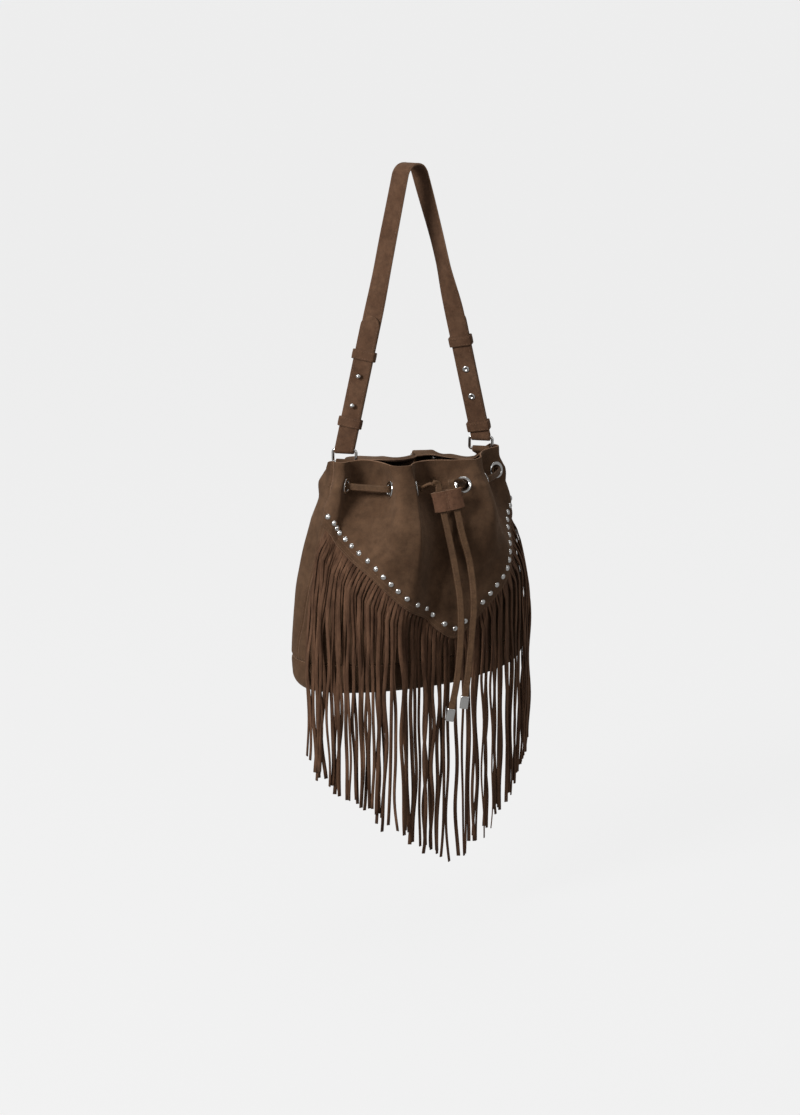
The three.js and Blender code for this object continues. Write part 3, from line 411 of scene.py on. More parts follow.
def pleat_offsets(count=960):
    """How far the real folds stand from the solids' at the eyelets' height, at even places around."""
    table = np.vstack([PLEATS, PLEATS * [1, -1, -1] + [0.5, 0, 0]])
    n = len(table)
    places, points = table[:, 0], table[:, 1:]
    before, after = np.roll(places, 1), np.roll(places, -1)
    before[0] -= 1
    after[-1] += 1
    slope = (np.roll(points, -1, 0) - np.roll(points, 1, 0)) / (after - before)[:, None]
    u = np.arange(count) / count
    i = np.searchsorted(places, u, side="right") - 1
    j = (i + 1) % n
    span = (after[i] - places[i])[:, None]
    t = (u - places[i])[:, None] / span
    deep = ((2 * t ** 3 - 3 * t ** 2 + 1) * points[i] + (t ** 3 - 2 * t ** 2 + t) * span * slope[i]
            + (3 * t ** 2 - 2 * t ** 3) * points[j] + (t ** 3 - t ** 2) * span * slope[j])
    plain = gathered_solid(u, np.full(count, EYELET_HEIGHT))
    return (deep[:, :1] * VIEW_RIGHT + deep[:, 1:] * VIEW_AWAY - plain)[:, :2]


PLEAT_OFFSETS = pleat_offsets()


def matched(around, height):
    return np.broadcast_arrays(np.asarray(around, float), np.asarray(height, float))


def gathered(around, height):
    around, height = matched(around, height)
    point = gathered_solid(around, height)
    place = np.mod(around, 1) * len(PLEAT_OFFSETS)
    i = np.floor(place).astype(int) % len(PLEAT_OFFSETS)
    t = (place - np.floor(place))[..., None]
    offset = PLEAT_OFFSETS[i] * (1 - t) + PLEAT_OFFSETS[(i + 1) % len(PLEAT_OFFSETS)] * t
    low = np.clip(1 - (EYELET_HEIGHT - height) / FOLD_REACH, 0, 1) ** 1.5
    high = 1 - 0.45 * (height - EYELET_HEIGHT) / (BAG_HEIGHT - EYELET_HEIGHT)
    share = np.where(height > EYELET_HEIGHT, high, low)
    point[..., :2] += offset * share[..., None]
    return point


def normal_of(surface, around, height):
    along = surface(around + 0.002, height) - surface(around - 0.002, height)
    rise = surface(around, height + 1) - surface(around, height - 1)
    return unit(np.cross(along, rise))


EYELET_PLACES = (2 * np.arange(12) + 1) / 24
EYELETS = [(u, gathered(u, EYELET_HEIGHT), normal_of(gathered, u, EYELET_HEIGHT)) for u in EYELET_PLACES]


def eyelet_offset(around, height, u):
    aside = (np.mod(around - u + 0.5, 1) - 0.5) * CLOTH_AROUND
    return np.hypot(aside, height - EYELET_HEIGHT)


def slackened(point, around, height):
    """The back rim sinks and leans to the front above its eyelets; the flanks draw in a little."""
    place = np.mod(around, 1)
    inside = smooth(np.minimum(place - 0.5, 1 - place) / 0.07)
    over = smooth((height - 226) / 15) * inside
    point = point - over[..., None] * (UP * 12.5 + VIEW_AWAY * 24)
    rightward = point @ VIEW_RIGHT
    low = 1 - smooth((height - 170) / 40)
    point = point - (8 * smooth((rightward - 45) / 60) * low)[..., None] * VIEW_RIGHT
    crease_at = 0.25 - 0.038 * np.clip(216 - height, 0, 160) / 131
    reach = smooth((height - 45) / 45) * (1 - smooth((height - 192) / 18))
    crease = 13 * np.exp(-((place - crease_at) / 0.017) ** 2)
    ridge = 4 * np.exp(-((place - crease_at + 0.036) / 0.02) ** 2)
    return point + ((crease - ridge) * reach)[..., None] * VIEW_AWAY


def seam_shift(around, height):
    """The left side seam hangs a little to the front of the flank's outline."""
    aside = np.mod(around + 0.5, 1) - 0.5
    below = 0.007 * np.exp(-(aside / 0.07) ** 2) * (1 - smooth((height - 184) / 14))
    return around + (0.006 * np.exp(-(aside / 0.022) ** 2) + below) * smooth((height - 40) / 40)


def plain_wall(around, height):
    around, height = matched(around, height)
    point = gathered(seam_shift(around, height), height)
    for u, centre, normal in EYELETS:
        share = 1 - smooth((eyelet_offset(around, height, u) - 12) / 8)
        off = ((point - centre) * normal).sum(-1)
        point = point - (off * share)[..., None] * normal
    return slackened(point, around, height)


rng = np.random.default_rng(7)
WAVES = []
for count, turns, rises, lean, size in (
        (5, (3, 9), (0.01, 0.035), 0.5, 0.55), (6, (12, 26), (0.04, 0.09), 2, 0.2)):
    for _ in range(count):
        ranges = (turns, rises, (0, 6.3), (-lean, lean))
        WAVES.append((*[rng.uniform(*limits) for limits in ranges], size))


def relief(around, height):
    """Soft unevenness of the hide and the pull of the seams, along the wall's normal."""
    around, height = matched(around, height)
    total = np.zeros(around.shape)
    for turns, rise, phase, lean, size in WAVES:
        across = np.sin(2 * math.pi * round(turns) * around + phase + lean * height * 0.02)
        total += size * across * np.sin(rise * height + phase * 2)
    quiet = np.ones(around.shape)
    for u in EYELET_PLACES:
        quiet *= smooth((eyelet_offset(around, height, u) - 10) / 14)
    to_seam = np.abs(np.mod(around + 0.25, 0.5) - 0.25) * CLOTH_AROUND
    quiet *= 0.25 + 0.75 * smooth(to_seam / 25)
    pull = -1.1 * np.exp(-((height - BASE_SEAM) / 2.2) ** 2)
    pull += -0.9 * np.exp(-(to_seam / 1.8) ** 2) * smooth((height - 20) / 20)
    pucker = 0.35 * np.sin(around * 2 * math.pi * 58 + 2 * np.sin(around * 40))
    pucker = pucker * np.exp(-((height - BASE_SEAM) / 7.0) ** 2)
    rim = 0.4 * smooth((height - 232) / 9) * np.sin(around * 2 * math.pi * 17 + 1.0)
    return total * quiet + pull + pucker + rim


def wall(around, height, outward=0.0):
    """A point on the wall, at a distance outside the surface of the solids."""
    around, height = matched(around, height)
    point = plain_wall(around, height)
    normal = normal_of(plain_wall, around, height)
    return point + normal * (outward + relief(around, height))[..., None]


def lowered(points):
    return np.asarray(points, float) - [0, 0, CROWN_TO_BASE]


def yoke_edge(around):
    aside = np.hypot(around - 0.25, YOKE_ROUND) - YOKE_ROUND
    full = math.hypot(0.25, YOKE_ROUND) - YOKE_ROUND
    return YOKE_TIP + (YOKE_CORNER - YOKE_TIP) * (aside / full) ** YOKE_BOW


def yoke_outward(around, height):
    over = height - yoke_edge(around) - YOKE_LAP
    return (2 * GAP + FRINGE_THICKNESS + SUEDE) * (1 - smooth(over / YOKE_EASE))


def eyelet_holes(around, height):
    """Cells of a wall grid that an eyelet's barrel passes through."""
    u = (around[:-1, :-1] + around[1:, 1:]) / 2
    h = (height[:-1, :-1] + height[1:, 1:]) / 2
    found = np.zeros(u.shape, bool)
    for place, centre, normal in EYELETS:
        away = np.linalg.norm(plain_wall(u, h) - centre, axis=-1)
        found |= (away < 7.5) & (eyelet_offset(u, h, place) < 14)
    return found


def wall_sheet(node, columns, heights, outward, with_holes=False):
    """A panel on the wall: columns around, heights(around) up, outward gives its outer face."""
    around = np.repeat(columns[:, None], len(heights(columns[0])), 1)
    height = np.array([heights(u) for u in columns])
    out = outward(around, height)
    outer = lowered(wall(around, height, out))
    inner = lowered(wall(around, height, out - SUEDE))
    # Rows run along the wall's turn so that the outer face looks outward
    outer, inner = np.swapaxes(outer, 0, 1), np.swapaxes(inner, 0, 1)
    hole = eyelet_holes(around, height).T if with_holes else None
    points, faces, kinds = thick_sheet(outer, inner, hole)
    return make(node + "_suede", points, faces, "bag", panel_looks, kinds, slot="suede", replaces=[node])


def spaced(*pieces):
    """Places from (start, end, count) runs joined end to end."""
    out = [np.linspace(a, b, n, endpoint=False) for a, b, n in pieces]
    return np.concatenate([*out, [pieces[-1][1]]])


EYELET_ROWS = spaced((203, 229, 17), (229, BAG_HEIGHT - 1.2, 6), (BAG_HEIGHT - 1.2, BAG_HEIGHT - 0.4, 2))
SEAM = 0.5 / CLOTH_AROUND


def back_heights(around):
    return np.concatenate([spaced((BASE_SEAM + 0.4, 44, 8), (44, 203, 46))[:-1], EYELET_ROWS])


def yoke_heights(around):
    edge = float(yoke_edge(around))
    fit = min(1.0, (199 - edge) / (YOKE_LAP + YOKE_EASE))
    low = edge + fit * np.array([0.35, 1.2, 2.5, 4.5, 7, 10, 13, 16, 19, 22, 25, 28, 31, 34, 37])
    return np.concatenate([low, np.linspace(low[-1], 203, 27)[1:-1], EYELET_ROWS])


def front_heights(around):
    edge = float(yoke_edge(around))
    return spaced((BASE_SEAM + 0.4, 44, 8), (44, edge + YOKE_LAP - 0.5, 30))


# The inner faces of the panels and base take the darker suede: painted shade inside the bag.
panel_looks = [suede, suede_cut, suede_painted_shade]
half_columns = spaced((SEAM, 6 * SEAM, 4), (6 * SEAM, 0.5 - 6 * SEAM, 190), (0.5 - 6 * SEAM, 0.5 - SEAM, 4))
wall_sheet("front_yoke", half_columns, yoke_heights, yoke_outward, True)
wall_sheet("back_panel", half_columns + 0.5, back_heights, lambda u, h: 0 * u, True)
wall_sheet("front_panel", half_columns, front_heights, lambda u, h: 0 * u)


# Base: a tray whose rounded edge turns under

def base_panel():
    columns = 240
    around = np.arange(columns) / columns
    rows = []
    for inset0 in (0.0, SUEDE):
        radius = BASE_RADIUS - inset0
        profile = [(h, inset0) for h in (33.4, 32, 29, 26, 22, BASE_RADIUS)]
        profile += [(BASE_RADIUS - radius * math.sin(t * DEG), BASE_RADIUS - radius * math.cos(t * DEG))
                    for t in range(9, 91, 9)]
        profile += [(BASE_RADIUS - radius, BASE_RADIUS + d) for d in (8, 18, 32, 48)]
        for height, inset in profile:
            start = max(height, BASE_RADIUS)
            out = unit(normal_of(plain_wall, around, start) * [1, 1, 0])
            bend = relief(around, height) if height > 19 else 0 * around
            here = plain_wall(around, start) * [1, 1, 0] + UP * height
            rows.append(here + out * (bend - inset)[:, None])
    half = len(rows) // 2
    mesh = Mesh()
    outer, inner = np.array(rows[:half]), np.array(rows[half:])
    mesh.add(lowered(outer), grid_faces(half, columns, flip=True, closed=True), 0)
    mesh.add(lowered(inner), grid_faces(half, columns, closed=True), 2)
    rim = lowered(np.array([outer[0], (outer[0] + inner[0]) / 2 + UP * 0.35, inner[0]]))
    mesh.add(rim, grid_faces(3, columns, closed=True, flip=True), 1)
    for loop, flip, kind in ((outer[-1], False, 0), (inner[-1], True, 2)):
        centre = loop.mean(0)
        points = lowered(np.concatenate([loop, [centre]]))
        fan = [(c, columns, (c + 1) % columns) for c in range(columns)]
        mesh.add(points, [f[::-1] for f in fan] if flip else fan, kind)
    return mesh.dress("base_panel", "_suede", "bag", panel_looks, "suede")


base_panel()


# Dome studs along the yoke's edge, with their number on each side of its point

YOKE_STUDS, YOKE_STUD_INSET = 17, 12


def dome_studs():
    mesh = Mesh()
    profile = [(3.15, -0.35), (3.15, 0.05)]
    profile += [(3.0 * math.cos(t * DEG), 0.15 + 1.75 * math.sin(t * DEG)) for t in (8, 22, 38, 54, 70, 84)]
    profile += [(0.02, 1.9)]
    points, faces = lathe(profile, 20)
    for i in range(-YOKE_STUDS, YOKE_STUDS + 1):
        u = 0.25 + i / (YOKE_STUDS + 0.6) * 0.25
        h = yoke_edge(u) + YOKE_STUD_INSET
        at = wall(u, h, yoke_outward(u, h))
        mesh.add(lowered(put(points, at, normal_of(plain_wall, u, h))), faces)
    return mesh.build("dome_studs", "bag", [nickel], slot="nickel")


dome_studs()


def wall_line(around, height, outward):
    """Points and normals of a line on the wall, lowered into the row frame."""
    return lowered(wall(around, height, outward)), normal_of(plain_wall, around, height)


def yoke_inset(u, inset):
    """The line that runs beside the yoke's edge at a distance along the suede."""
    slope = (yoke_edge(u + 0.001) - yoke_edge(u - 0.001)) / (0.002 * CLOTH_AROUND)
    size = np.hypot(slope, 1)
    return u - inset * slope / size / CLOTH_AROUND, yoke_edge(u) + inset / size


def bag_stitches():
    mesh = Mesh()
    u = np.linspace(0.004, 0.496, 500)
    for inset in (2.0, 6.0):
        place, height = yoke_inset(u, inset)
        keep = (place > 0.004) & (place < 0.496)
        stitches(mesh, *wall_line(place[keep], height[keep], yoke_outward(place[keep], height[keep])),
                 length=2.2, gap=0.9, radius=0.22, sink=0.14)
    for seam, side, low, high in ((0, 1, 181, 240), (0.5, -1, 181, 240), (0, -1, 36, 240), (0.5, 1, 36, 240)):
        h = np.linspace(low, high, 120)
        place = seam + side * 3.0 / CLOTH_AROUND + 0 * h
        out = yoke_outward(place, h) if side * (0.25 - seam) > 0 else 0 * h
        stitches(mesh, *wall_line(place, h, out), length=2.3, gap=1.0, radius=0.22, sink=0.12)
    u = np.linspace(0, 1, 900)
    stitches(mesh, *wall_line(u, 36.6 + 0 * u, 0 * u), length=2.4, gap=1.1, radius=0.22, sink=0.14)
    return mesh.build("bag_stitches", "bag", [thread], slot="leather")


bag_stitches()


# Eyelets: rolled flange outside, barrel and washer inside

def eyelet(u, centre, normal, node):
    flange = [(5.5, -2.9), (6.2, -2.85), (7.6, -2.6), (8.4, -2.3), (8.3, -2.0), (6.3, -1.95), (6.2, 0.2),
              (8.6, 0.15), (9.0, 0.3), (8.9, 0.75), (8.3, 1.2), (7.3, 1.45), (6.4, 1.3), (5.8, 0.9),
              (5.5, 0.3), (5.45, -1.4)]
    points, faces = lathe(flange, 44, closed=True)
    mesh = Mesh()
    mesh.add(lowered(put(points, centre, normal)), faces)
    return mesh.dress(node, "_metal", "bag", [nickel], "nickel")


for number, (u, centre, normal) in enumerate(EYELETS):
    which = ("front", number + 1) if number < 6 else ("back", number - 5)
    eyelet(u, centre, normal, "eyelet_%s_%d" % which)


# Fringe: strands from behind the yoke's edge that bend down and hang plumb

# A strand bends down off the yoke's edge over its first FREE_FALL, and hangs free from there
STRAND_LENGTH, STRAND_THICKNESS, FREE_FALL = 252.0, 1.25, 26
STRAND_LAYERS, STRANDS_PER_CLUMP = 3, 5

LEVELS = np.arange(0, 182, 2.0)
RING = np.linspace(0, 1, 480, endpoint=False)
WALL_RINGS = [plain_wall(RING, max(h, BASE_RADIUS))[:, :2] for h in LEVELS]
WALL_NORMALS = [unit(normal_of(plain_wall, RING, max(h, BASE_RADIUS))[:, :2]) for h in LEVELS]


def off_the_wall(point, height, margin):
    """Moves a point out until it is margin outside the wall at its height."""
    level = int(np.clip(round(height / 2), 0, len(LEVELS) - 1))
    away = point[:2] - WALL_RINGS[level]
    nearest = int(np.argmin((away ** 2).sum(1)))
    short = margin - float(away[nearest] @ WALL_NORMALS[level][nearest])
    if short > 0:
        point[:2] += WALL_NORMALS[level][nearest] * short
    return point


def strand_section(width):
    w, t, c = width / 2, STRAND_THICKNESS / 2, 0.28
    return np.array([[-w + c, -t], [w - c, -t], [w, -t + c], [w, t - c],
                     [w - c, t], [-w + c, t], [-w, t - c], [-w, -t + c]])


def sway(along, length, phase):
    return math.sin(along / length * 2 * math.pi + phase)


def fringe_side(side, node, count, seed):
    r = np.random.default_rng(seed)
    mesh = Mesh()
    low, high = (0.012, 0.2495) if side < 0 else (0.2505, 0.490)
    strip = np.linspace(low - 0.007, high, 160) if side < 0 else np.linspace(low, high + 0.007, 160)
    strip = np.clip(strip, SEAM, 0.5 - SEAM)
    around = np.repeat(strip[:, None], 5, 1)
    height = yoke_edge(strip)[:, None] + np.array([-0.6, 0.5, 4, 9, YOKE_LAP - 0.6])
    outer = np.swapaxes(lowered(wall(around, height, GAP + FRINGE_THICKNESS + 0 * around)), 0, 1)
    inner = np.swapaxes(lowered(wall(around, height, GAP + 0 * around)), 0, 1)
    mesh.add(*thick_sheet(outer, inner)[:2])
    clump = 0.0
    for i in range(count):
        u0 = low + (high - low) * (i + 0.5) / count
        layer = (i * 2) % STRAND_LAYERS
        if i % STRANDS_PER_CLUMP == 0:
            clump = r.uniform(-2.2, 2.2)
        length = STRAND_LENGTH + r.uniform(-9, 5)
        width = r.uniform(3.0, 4.1)
        wave = [(r.uniform(0.3, 1.3), r.uniform(70, 190), r.uniform(0, 6.3)) for _ in range(2)]
        depth_wave = (r.uniform(0.3, 1.2), r.uniform(70, 150), r.uniform(0, 6.3))
        turn_end = r.uniform(-50, 50)
        curl = r.uniform(-1, 1) ** 3 * 7
        spread = (7.5 if side < 0 else 4.5) + r.uniform(-1.5, 1.5)
        root = float(yoke_edge(u0)) + 3.0
        rows, point = [], None
        steps = np.concatenate([np.linspace(0, 24, 9), np.linspace(24, length, 27)[1:]])
        for s in steps:
            h = root - s * 0.99
            share = s / length
            drift = side * spread * (1 - math.exp(-s / 11)) * (0.35 + 0.65 * abs(u0 - 0.25) / 0.25)
            if s < FREE_FALL:
                u = u0 + drift / CLOTH_AROUND
                lift = (1.5 + layer * 1.5) * smooth((s - 6) / 18)
                margin = GAP + 0.65 + float(lift)
                on_wall = wall(u, max(h, BASE_RADIUS), margin)
                point = np.array([on_wall[0], on_wall[1], h])
                normal = normal_of(plain_wall, u, max(h, BASE_RADIUS))
                tangent = unit(np.cross(UP, normal))
                shown = point.copy()
            else:
                point[2] = h
                off_the_wall(point, h, margin + 0.6 if h > 20 else -99)
                grow = smooth((s - FREE_FALL) / 60)
                aside = sum(a * (sway(s, w, p) - sway(FREE_FALL, w, p)) for a, w, p in wave) * float(grow)
                aside += clump * float(smooth((s - 60) / 190)) + curl * max(0, share - 0.75) ** 2 * 9
                a, w, p = depth_wave
                ahead = a * (sway(s, w, p) + 1)
                shown = point + tangent * aside + unit(normal * [1, 1, 0]) * ahead * float(grow)
                if h > BASE_RADIUS:
                    shown = off_the_wall(shown, h, margin)
            tilt = side * 0.62 * math.exp(-s / 12)
            across = tangent * math.cos(tilt) + np.cross(normal, tangent) * math.sin(-tilt)
            yaw = turn_end * DEG * float(smooth((s - 20) / (length - 20)))
            across = unit(across * math.cos(yaw) + unit(normal * [1, 1, 0]) * math.sin(yaw))
            rows.append((shown, across))
        path, across = (np.array(column) for column in zip(*rows))
        heading = unit(np.gradient(path, axis=0))
        across = unit(across - (across * heading).sum(1)[:, None] * heading)
        face = np.cross(heading, across)
        points, faces = swept(path, strand_section(width), across, face)
        mesh.add(lowered(points), faces)
    return mesh.dress(node, "_suede", "bag", [suede_fringe], "fringe_suede")


fringe_side(-1, "fringe_left", 45, 31)
fringe_side(1, "fringe_right", 45, 57)


# Curves as the solids' source draws them

def curve_points(control, places):
    """Points of a centripetal Catmull-Rom curve at places from 0 to 1."""
    control = np.asarray(control, float)
    first = 2 * control[0] - control[1]
    last = 2 * control[-1] - control[-2]
    whole = np.vstack([first, control, last])
    out = []
    for t in np.atleast_1d(places):
        p = min(max(t, 0), 1) * (len(control) - 1)
        i = min(int(p), len(control) - 2)
        w = p - i
        p0, p1, p2, p3 = whole[i:i + 4]
        d0, d1, d2 = (max(np.linalg.norm(b - a), 1e-6) ** 0.5 for a, b in ((p0, p1), (p1, p2), (p2, p3)))
        m1 = ((p1 - p0) / d0 - (p2 - p0) / (d0 + d1) + (p2 - p1) / d1) * d1
        m2 = ((p2 - p1) / d1 - (p3 - p1) / (d1 + d2) + (p3 - p2) / d2) * d1
        bend, swing = -3 * p1 + 3 * p2 - 2 * m1 - m2, 2 * p1 - 2 * p2 + m1 + m2
        out.append(p1 + m1 * w + bend * w ** 2 + swing * w ** 3)
    return np.array(out)


def square_to(direction, azimuth):
    """The direction square to another one that leans least from a level azimuth."""
    rough = level(azimuth)
    return unit(rough - direction * (rough @ direction))


CORD_WIDTH, CORD_THICKNESS, CORD_STITCH_INSET = 7.0, 2.6, 1.5


def flat_cord(path, across, stitched=slice(None)):
    """A flat cord with rounded edges and a stitched line beside one edge, in a shallow groove."""
    heading = unit(np.gradient(path, axis=0))
    across = unit(across - (across * heading).sum(1)[:, None] * heading)
    face = np.cross(heading, across)
    w, t, c = CORD_WIDTH / 2, CORD_THICKNESS / 2, 0.7
    front = [[-w + c, -t], [-w + 1.7, -t + 0.12], [0, -t - 0.05], [w - 1.7, -t + 0.12], [w - c, -t],
             [w - 0.2, -t + 0.3], [w, 0], [w - 0.2, t - 0.3]]
    section = np.array(front + [[-x, -y] for x, y in front])
    mesh = Mesh()
    mesh.add(*swept(path, section, across, face))
    for side in (-1, 1):
        line = path - across * (w - CORD_STITCH_INSET) + face * side * t
        stitches(mesh, line[stitched], face[stitched] * side, 1.9, 0.9, 0.24, 1, 0.02)
    mesh.points = [lowered(p) for p in mesh.points]
    return mesh


EYELET_POINT = [e[1] for e in EYELETS]
EYELET_NORMAL = [e[2] for e in EYELETS]
SLIDER_MIDDLE = np.array([-2.0, -87.0, 206.0])
SLIDER_DOWN = unit([0.16, -0.15, -0.98])
SLIDER_ACROSS = square_to(SLIDER_DOWN, VIEW_AZIMUTH)
SLIDER_PITCH, SLIDER_HEIGHT = 14.0, 20.0


def drawstring():
    order = [(2 - i) % 12 for i in range(12)]
    control = [EYELET_POINT[2]]
    for i, e in enumerate(order):
        before = 1 if i % 2 == 0 else -1
        if i > 0:
            control.append(EYELET_POINT[e] + EYELET_NORMAL[e] * before * 4.5)
        if i < len(order) - 1:
            control.append(EYELET_POINT[e] - EYELET_NORMAL[e] * before * 4.5)
    control.append(EYELET_POINT[3])
    path = curve_points(control, np.linspace(0, 1, 320))
    mesh = flat_cord(path, np.tile(UP, (len(path), 1)))
    return mesh.dress("drawstring", "_leather", "bag", [cord_leather, thread], "leather")


drawstring()

CORD_ROUTES = {
    "left": [(1, -97, 140), (5, -103, 100), (5, -104, 60), (2, -103, 20), (-5, -102, -18)],
    "right": [(18, -98, 140), (20, -104, 100), (17, -105, 60), (13, -106, 25), (9, -106, -5)],
}


def cord_control(side):
    e, s = (2, -1) if side == "left" else (3, 1)
    channel = SLIDER_MIDDLE + SLIDER_ACROSS * s * SLIDER_PITCH / 2
    start = EYELET_POINT[e] + EYELET_NORMAL[e] * GAP
    near = EYELET_POINT[e] + EYELET_NORMAL[e] * 2.6
    clear = EYELET_POINT[e] + EYELET_NORMAL[e] * 5
    above = channel - SLIDER_DOWN * SLIDER_HEIGHT * 0.9
    bow = clear + (above - clear) * 0.6 + UP * 3 + np.array([0, -3.0, 0])
    straight = [channel + SLIDER_DOWN * share * SLIDER_HEIGHT for share in (-0.6, 0, 1, 1.7)]
    return [start, near, clear, bow, above, *straight, *[np.array(p, float) for p in CORD_ROUTES[side]]]


TIP_INSERT = 4.7


def cord_tip(side, end, down):
    """A pressed metal sleeve with softened edges, a dimple in front and an open mouth for the cord."""
    w, d, height = 4.3, 2.2, 13.5
    turn = np.linspace(0, 2 * math.pi, 36, endpoint=False)
    super_x = np.sign(np.cos(turn)) * np.abs(np.cos(turn)) ** 0.42
    super_y = np.sign(np.sin(turn)) * np.abs(np.sin(turn)) ** 0.5
    rows = []
    profile = [(0.80, 4.3), (0.80, 0.2), (0.90, 0.0), (1.0, 0.35), (1.0, 3), (1.0, 6), (1.0, 9),
               (1.0, height - 0.5), (0.93, height - 0.05), (0.6, height + 0.05), (0.02, height + 0.08)]
    for share, h in profile:
        wall_x = w - (1 - share) * 2.6 if share > 0.5 else w * share
        wall_y = d - (1 - share) * 2.6 if share > 0.5 else d * share
        rows.append(np.stack([super_x * wall_x, super_y * wall_y, np.full(36, h - TIP_INSERT)], -1))
    points = np.concatenate(rows)
    # The dimple of the setting tool, on both broad faces
    hollow = np.exp(-((points[:, 0] / 1.1) ** 2 + ((points[:, 2] + TIP_INSERT - 4.2) / 1.3) ** 2))
    points[:, 1] -= np.sign(points[:, 1]) * hollow * 0.55 * (np.abs(points[:, 1]) > 1.6)
    mesh = Mesh()
    mesh.add(lowered(put(points, end, down, SLIDER_ACROSS)), grid_faces(len(profile), 36, closed=True))
    return mesh.dress("cord_tip_" + side, "_metal", "bag", [nickel], "nickel")


def cord_end(side):
    control = cord_control(side)
    places = np.linspace(0, 1, 150)
    path = curve_points(control, places)
    turn = smooth((places - 0.02) / 0.16)[:, None]
    mesh = flat_cord(path, UP * (1 - turn) + SLIDER_ACROSS * turn, slice(4, -6))
    made = mesh.dress("drawstring_end_" + side, "_leather", "bag", [cord_leather, thread], "leather")
    tip = cord_tip(side, path[-1], unit(path[-1] - path[-2]))


cord_end("left")
cord_end("right")


# Slider: one strip of leather folded round both cord ends and sewn down between them

def slider():
    wall_thickness, height, half_width = 1.7, SLIDER_HEIGHT, 15.4
    mesh = Mesh()
    turn = np.linspace(0, 2 * math.pi, 72, endpoint=False)
    x = half_width * np.sign(np.cos(turn)) * np.abs(np.cos(turn)) ** 0.75
    y_sign = np.sin(turn)
    lobe = 4.7 - 1.35 * np.exp(-(x / 2.2) ** 2) - 1.9 * smooth((np.abs(x) - 9.5) / 6.5)
    outline = np.stack([x, lobe * np.sign(y_sign) * np.abs(y_sign) ** 0.45], -1)
    levels = [-0.5, -0.47, -0.4, -0.25, -0.08, 0.08, 0.25, 0.4, 0.47, 0.5]
    outer, inner = [], []
    for v in levels:
        flare = 1 + 0.045 * (abs(v) * 2) ** 3
        bow = 0.9 * np.cos(outline[:, 0] / half_width * math.pi / 2) * (1 if v > 0 else -0.5) * abs(v) * 2
        up = v * height + bow * 0.6
        outer.append(np.column_stack([outline * [flare, 1.0], up]))
        inner.append(np.column_stack([outline * [1 - wall_thickness / half_width, 0.62], up]))
    outer, inner = np.array(outer), np.array(inner)
    n = len(turn)
    mesh.add(outer.reshape(-1, 3), grid_faces(len(levels), n, closed=True), 0)
    mesh.add(inner.reshape(-1, 3), grid_faces(len(levels), n, closed=True, flip=True), 1)
    for row, flip in ((0, True), (-1, False)):
        lip = (outer[row] + inner[row]) / 2 + [0, 0, -0.35 if row == 0 else 0.35]
        mesh.add(np.concatenate([outer[row], lip, inner[row]]), grid_faces(3, n, closed=True, flip=flip), 2)
    h = np.linspace(-0.44, 0.44, 30) * height
    for face_side in (-1, 1):
        for x0 in (-1.1, 1.1):
            line = np.stack([np.full(30, x0), np.full(30, face_side * 3.62), h], -1)
            stitches(mesh, line, np.tile([0, face_side, 0.0], (30, 1)), 1.8, 0.8, 0.22, 3, 0.02)
    mesh.points = [lowered(put(p, SLIDER_MIDDLE, SLIDER_DOWN, SLIDER_ACROSS)) for p in mesh.points]
    # The slider's inside takes the darker suede: painted shade.
    looks = [slider_leather, suede_painted_shade, suede_cut, thread]
    return mesh.dress("cord_slider", "_leather", "slider", looks, "leather")


slider()


# Shoulder strap

STRAP_WIDTH, STRAP_THICKNESS, STRAP_RISE, LAYER_GAP = 20.0, 2.2, 291.0, 1.6
TAIL_LENGTH, SKEW_LENGTH, RING_WIRE = 141.0, 6.5, 3.0
BAR_AZIMUTH, CROWN_AZIMUTH, CROWN_SPAN, CROWN_DIP = -40.0, -25.0, 13.0, 13.0
HOLE_PITCH, FIRST_HOLE = 31.0, 16.0
PITCH = STRAP_THICKNESS + LAYER_GAP
BAR = level(BAR_AZIMUTH)
LEG_OUT = np.cross(BAR, UP)
LEG_FOOT = np.array([-81.0, -3.0, -STRAP_RISE])
CROWN_ACROSS = level(CROWN_AZIMUTH)
LEG_TOP = CROWN_ACROSS * -CROWN_SPAN + UP * -CROWN_DIP
LEG_LENGTH = float(np.linalg.norm(LEG_TOP - LEG_FOOT))
LEG = unit(LEG_TOP - LEG_FOOT)
TURNED = np.array([-1.0, -1.0, 1.0])

# The fold over the hook, as the strap hangs: its line, its middle, and how far the legs stand apart.
# FREE_TURN is how far each leg turns on the way there.
FOLD_AZIMUTH, FOLD_SPAN, FOLD_DIP = -60.0, 18.0, 10.0
FOLD_MIDDLE = CROWN_ACROSS * -4.0
FOLD_PATH = level(FOLD_AZIMUTH + 90)
FREE_TURN = {"left": -14.0, "right": -33.0}

# The upper keepers slide nearly this far up, so the strap lies straight to here
FREE_FROM = TAIL_LENGTH - 4


def sided(points, side):
    return np.asarray(points) * (1 if side == "left" else TURNED)


def leg_frame(distance, side="left"):
    """A leg's middle, width and normal. Above FREE_FROM it leaves its ring's line for the crown's fold."""
    free = max(0.0, (distance - FREE_FROM) / (LEG_LENGTH - FREE_FROM))
    turn, settled = FREE_TURN[side], float(smooth((free - 0.45) / 0.55))
    azimuth = BAR_AZIMUTH + turn * float(smooth(free / 0.4)) + (FOLD_AZIMUTH - BAR_AZIMUTH - turn) * settled
    skew = min(1, distance / SKEW_LENGTH)
    width = unit(BAR * (1 - skew) + square_to(LEG, azimuth) * skew)
    fold = sided(FOLD_MIDDLE, side) - FOLD_PATH * FOLD_SPAN - UP * FOLD_DIP
    bend = (fold - LEG_TOP) * free * free * (3 - free) / 2
    return LEG_FOOT + LEG * distance + bend, width, unit(np.cross(width, LEG))


def leg_row(distance, outward, side, half_width=STRAP_WIDTH / 2):
    middle, width, normal = leg_frame(distance, side)
    return middle + normal * outward, width, half_width


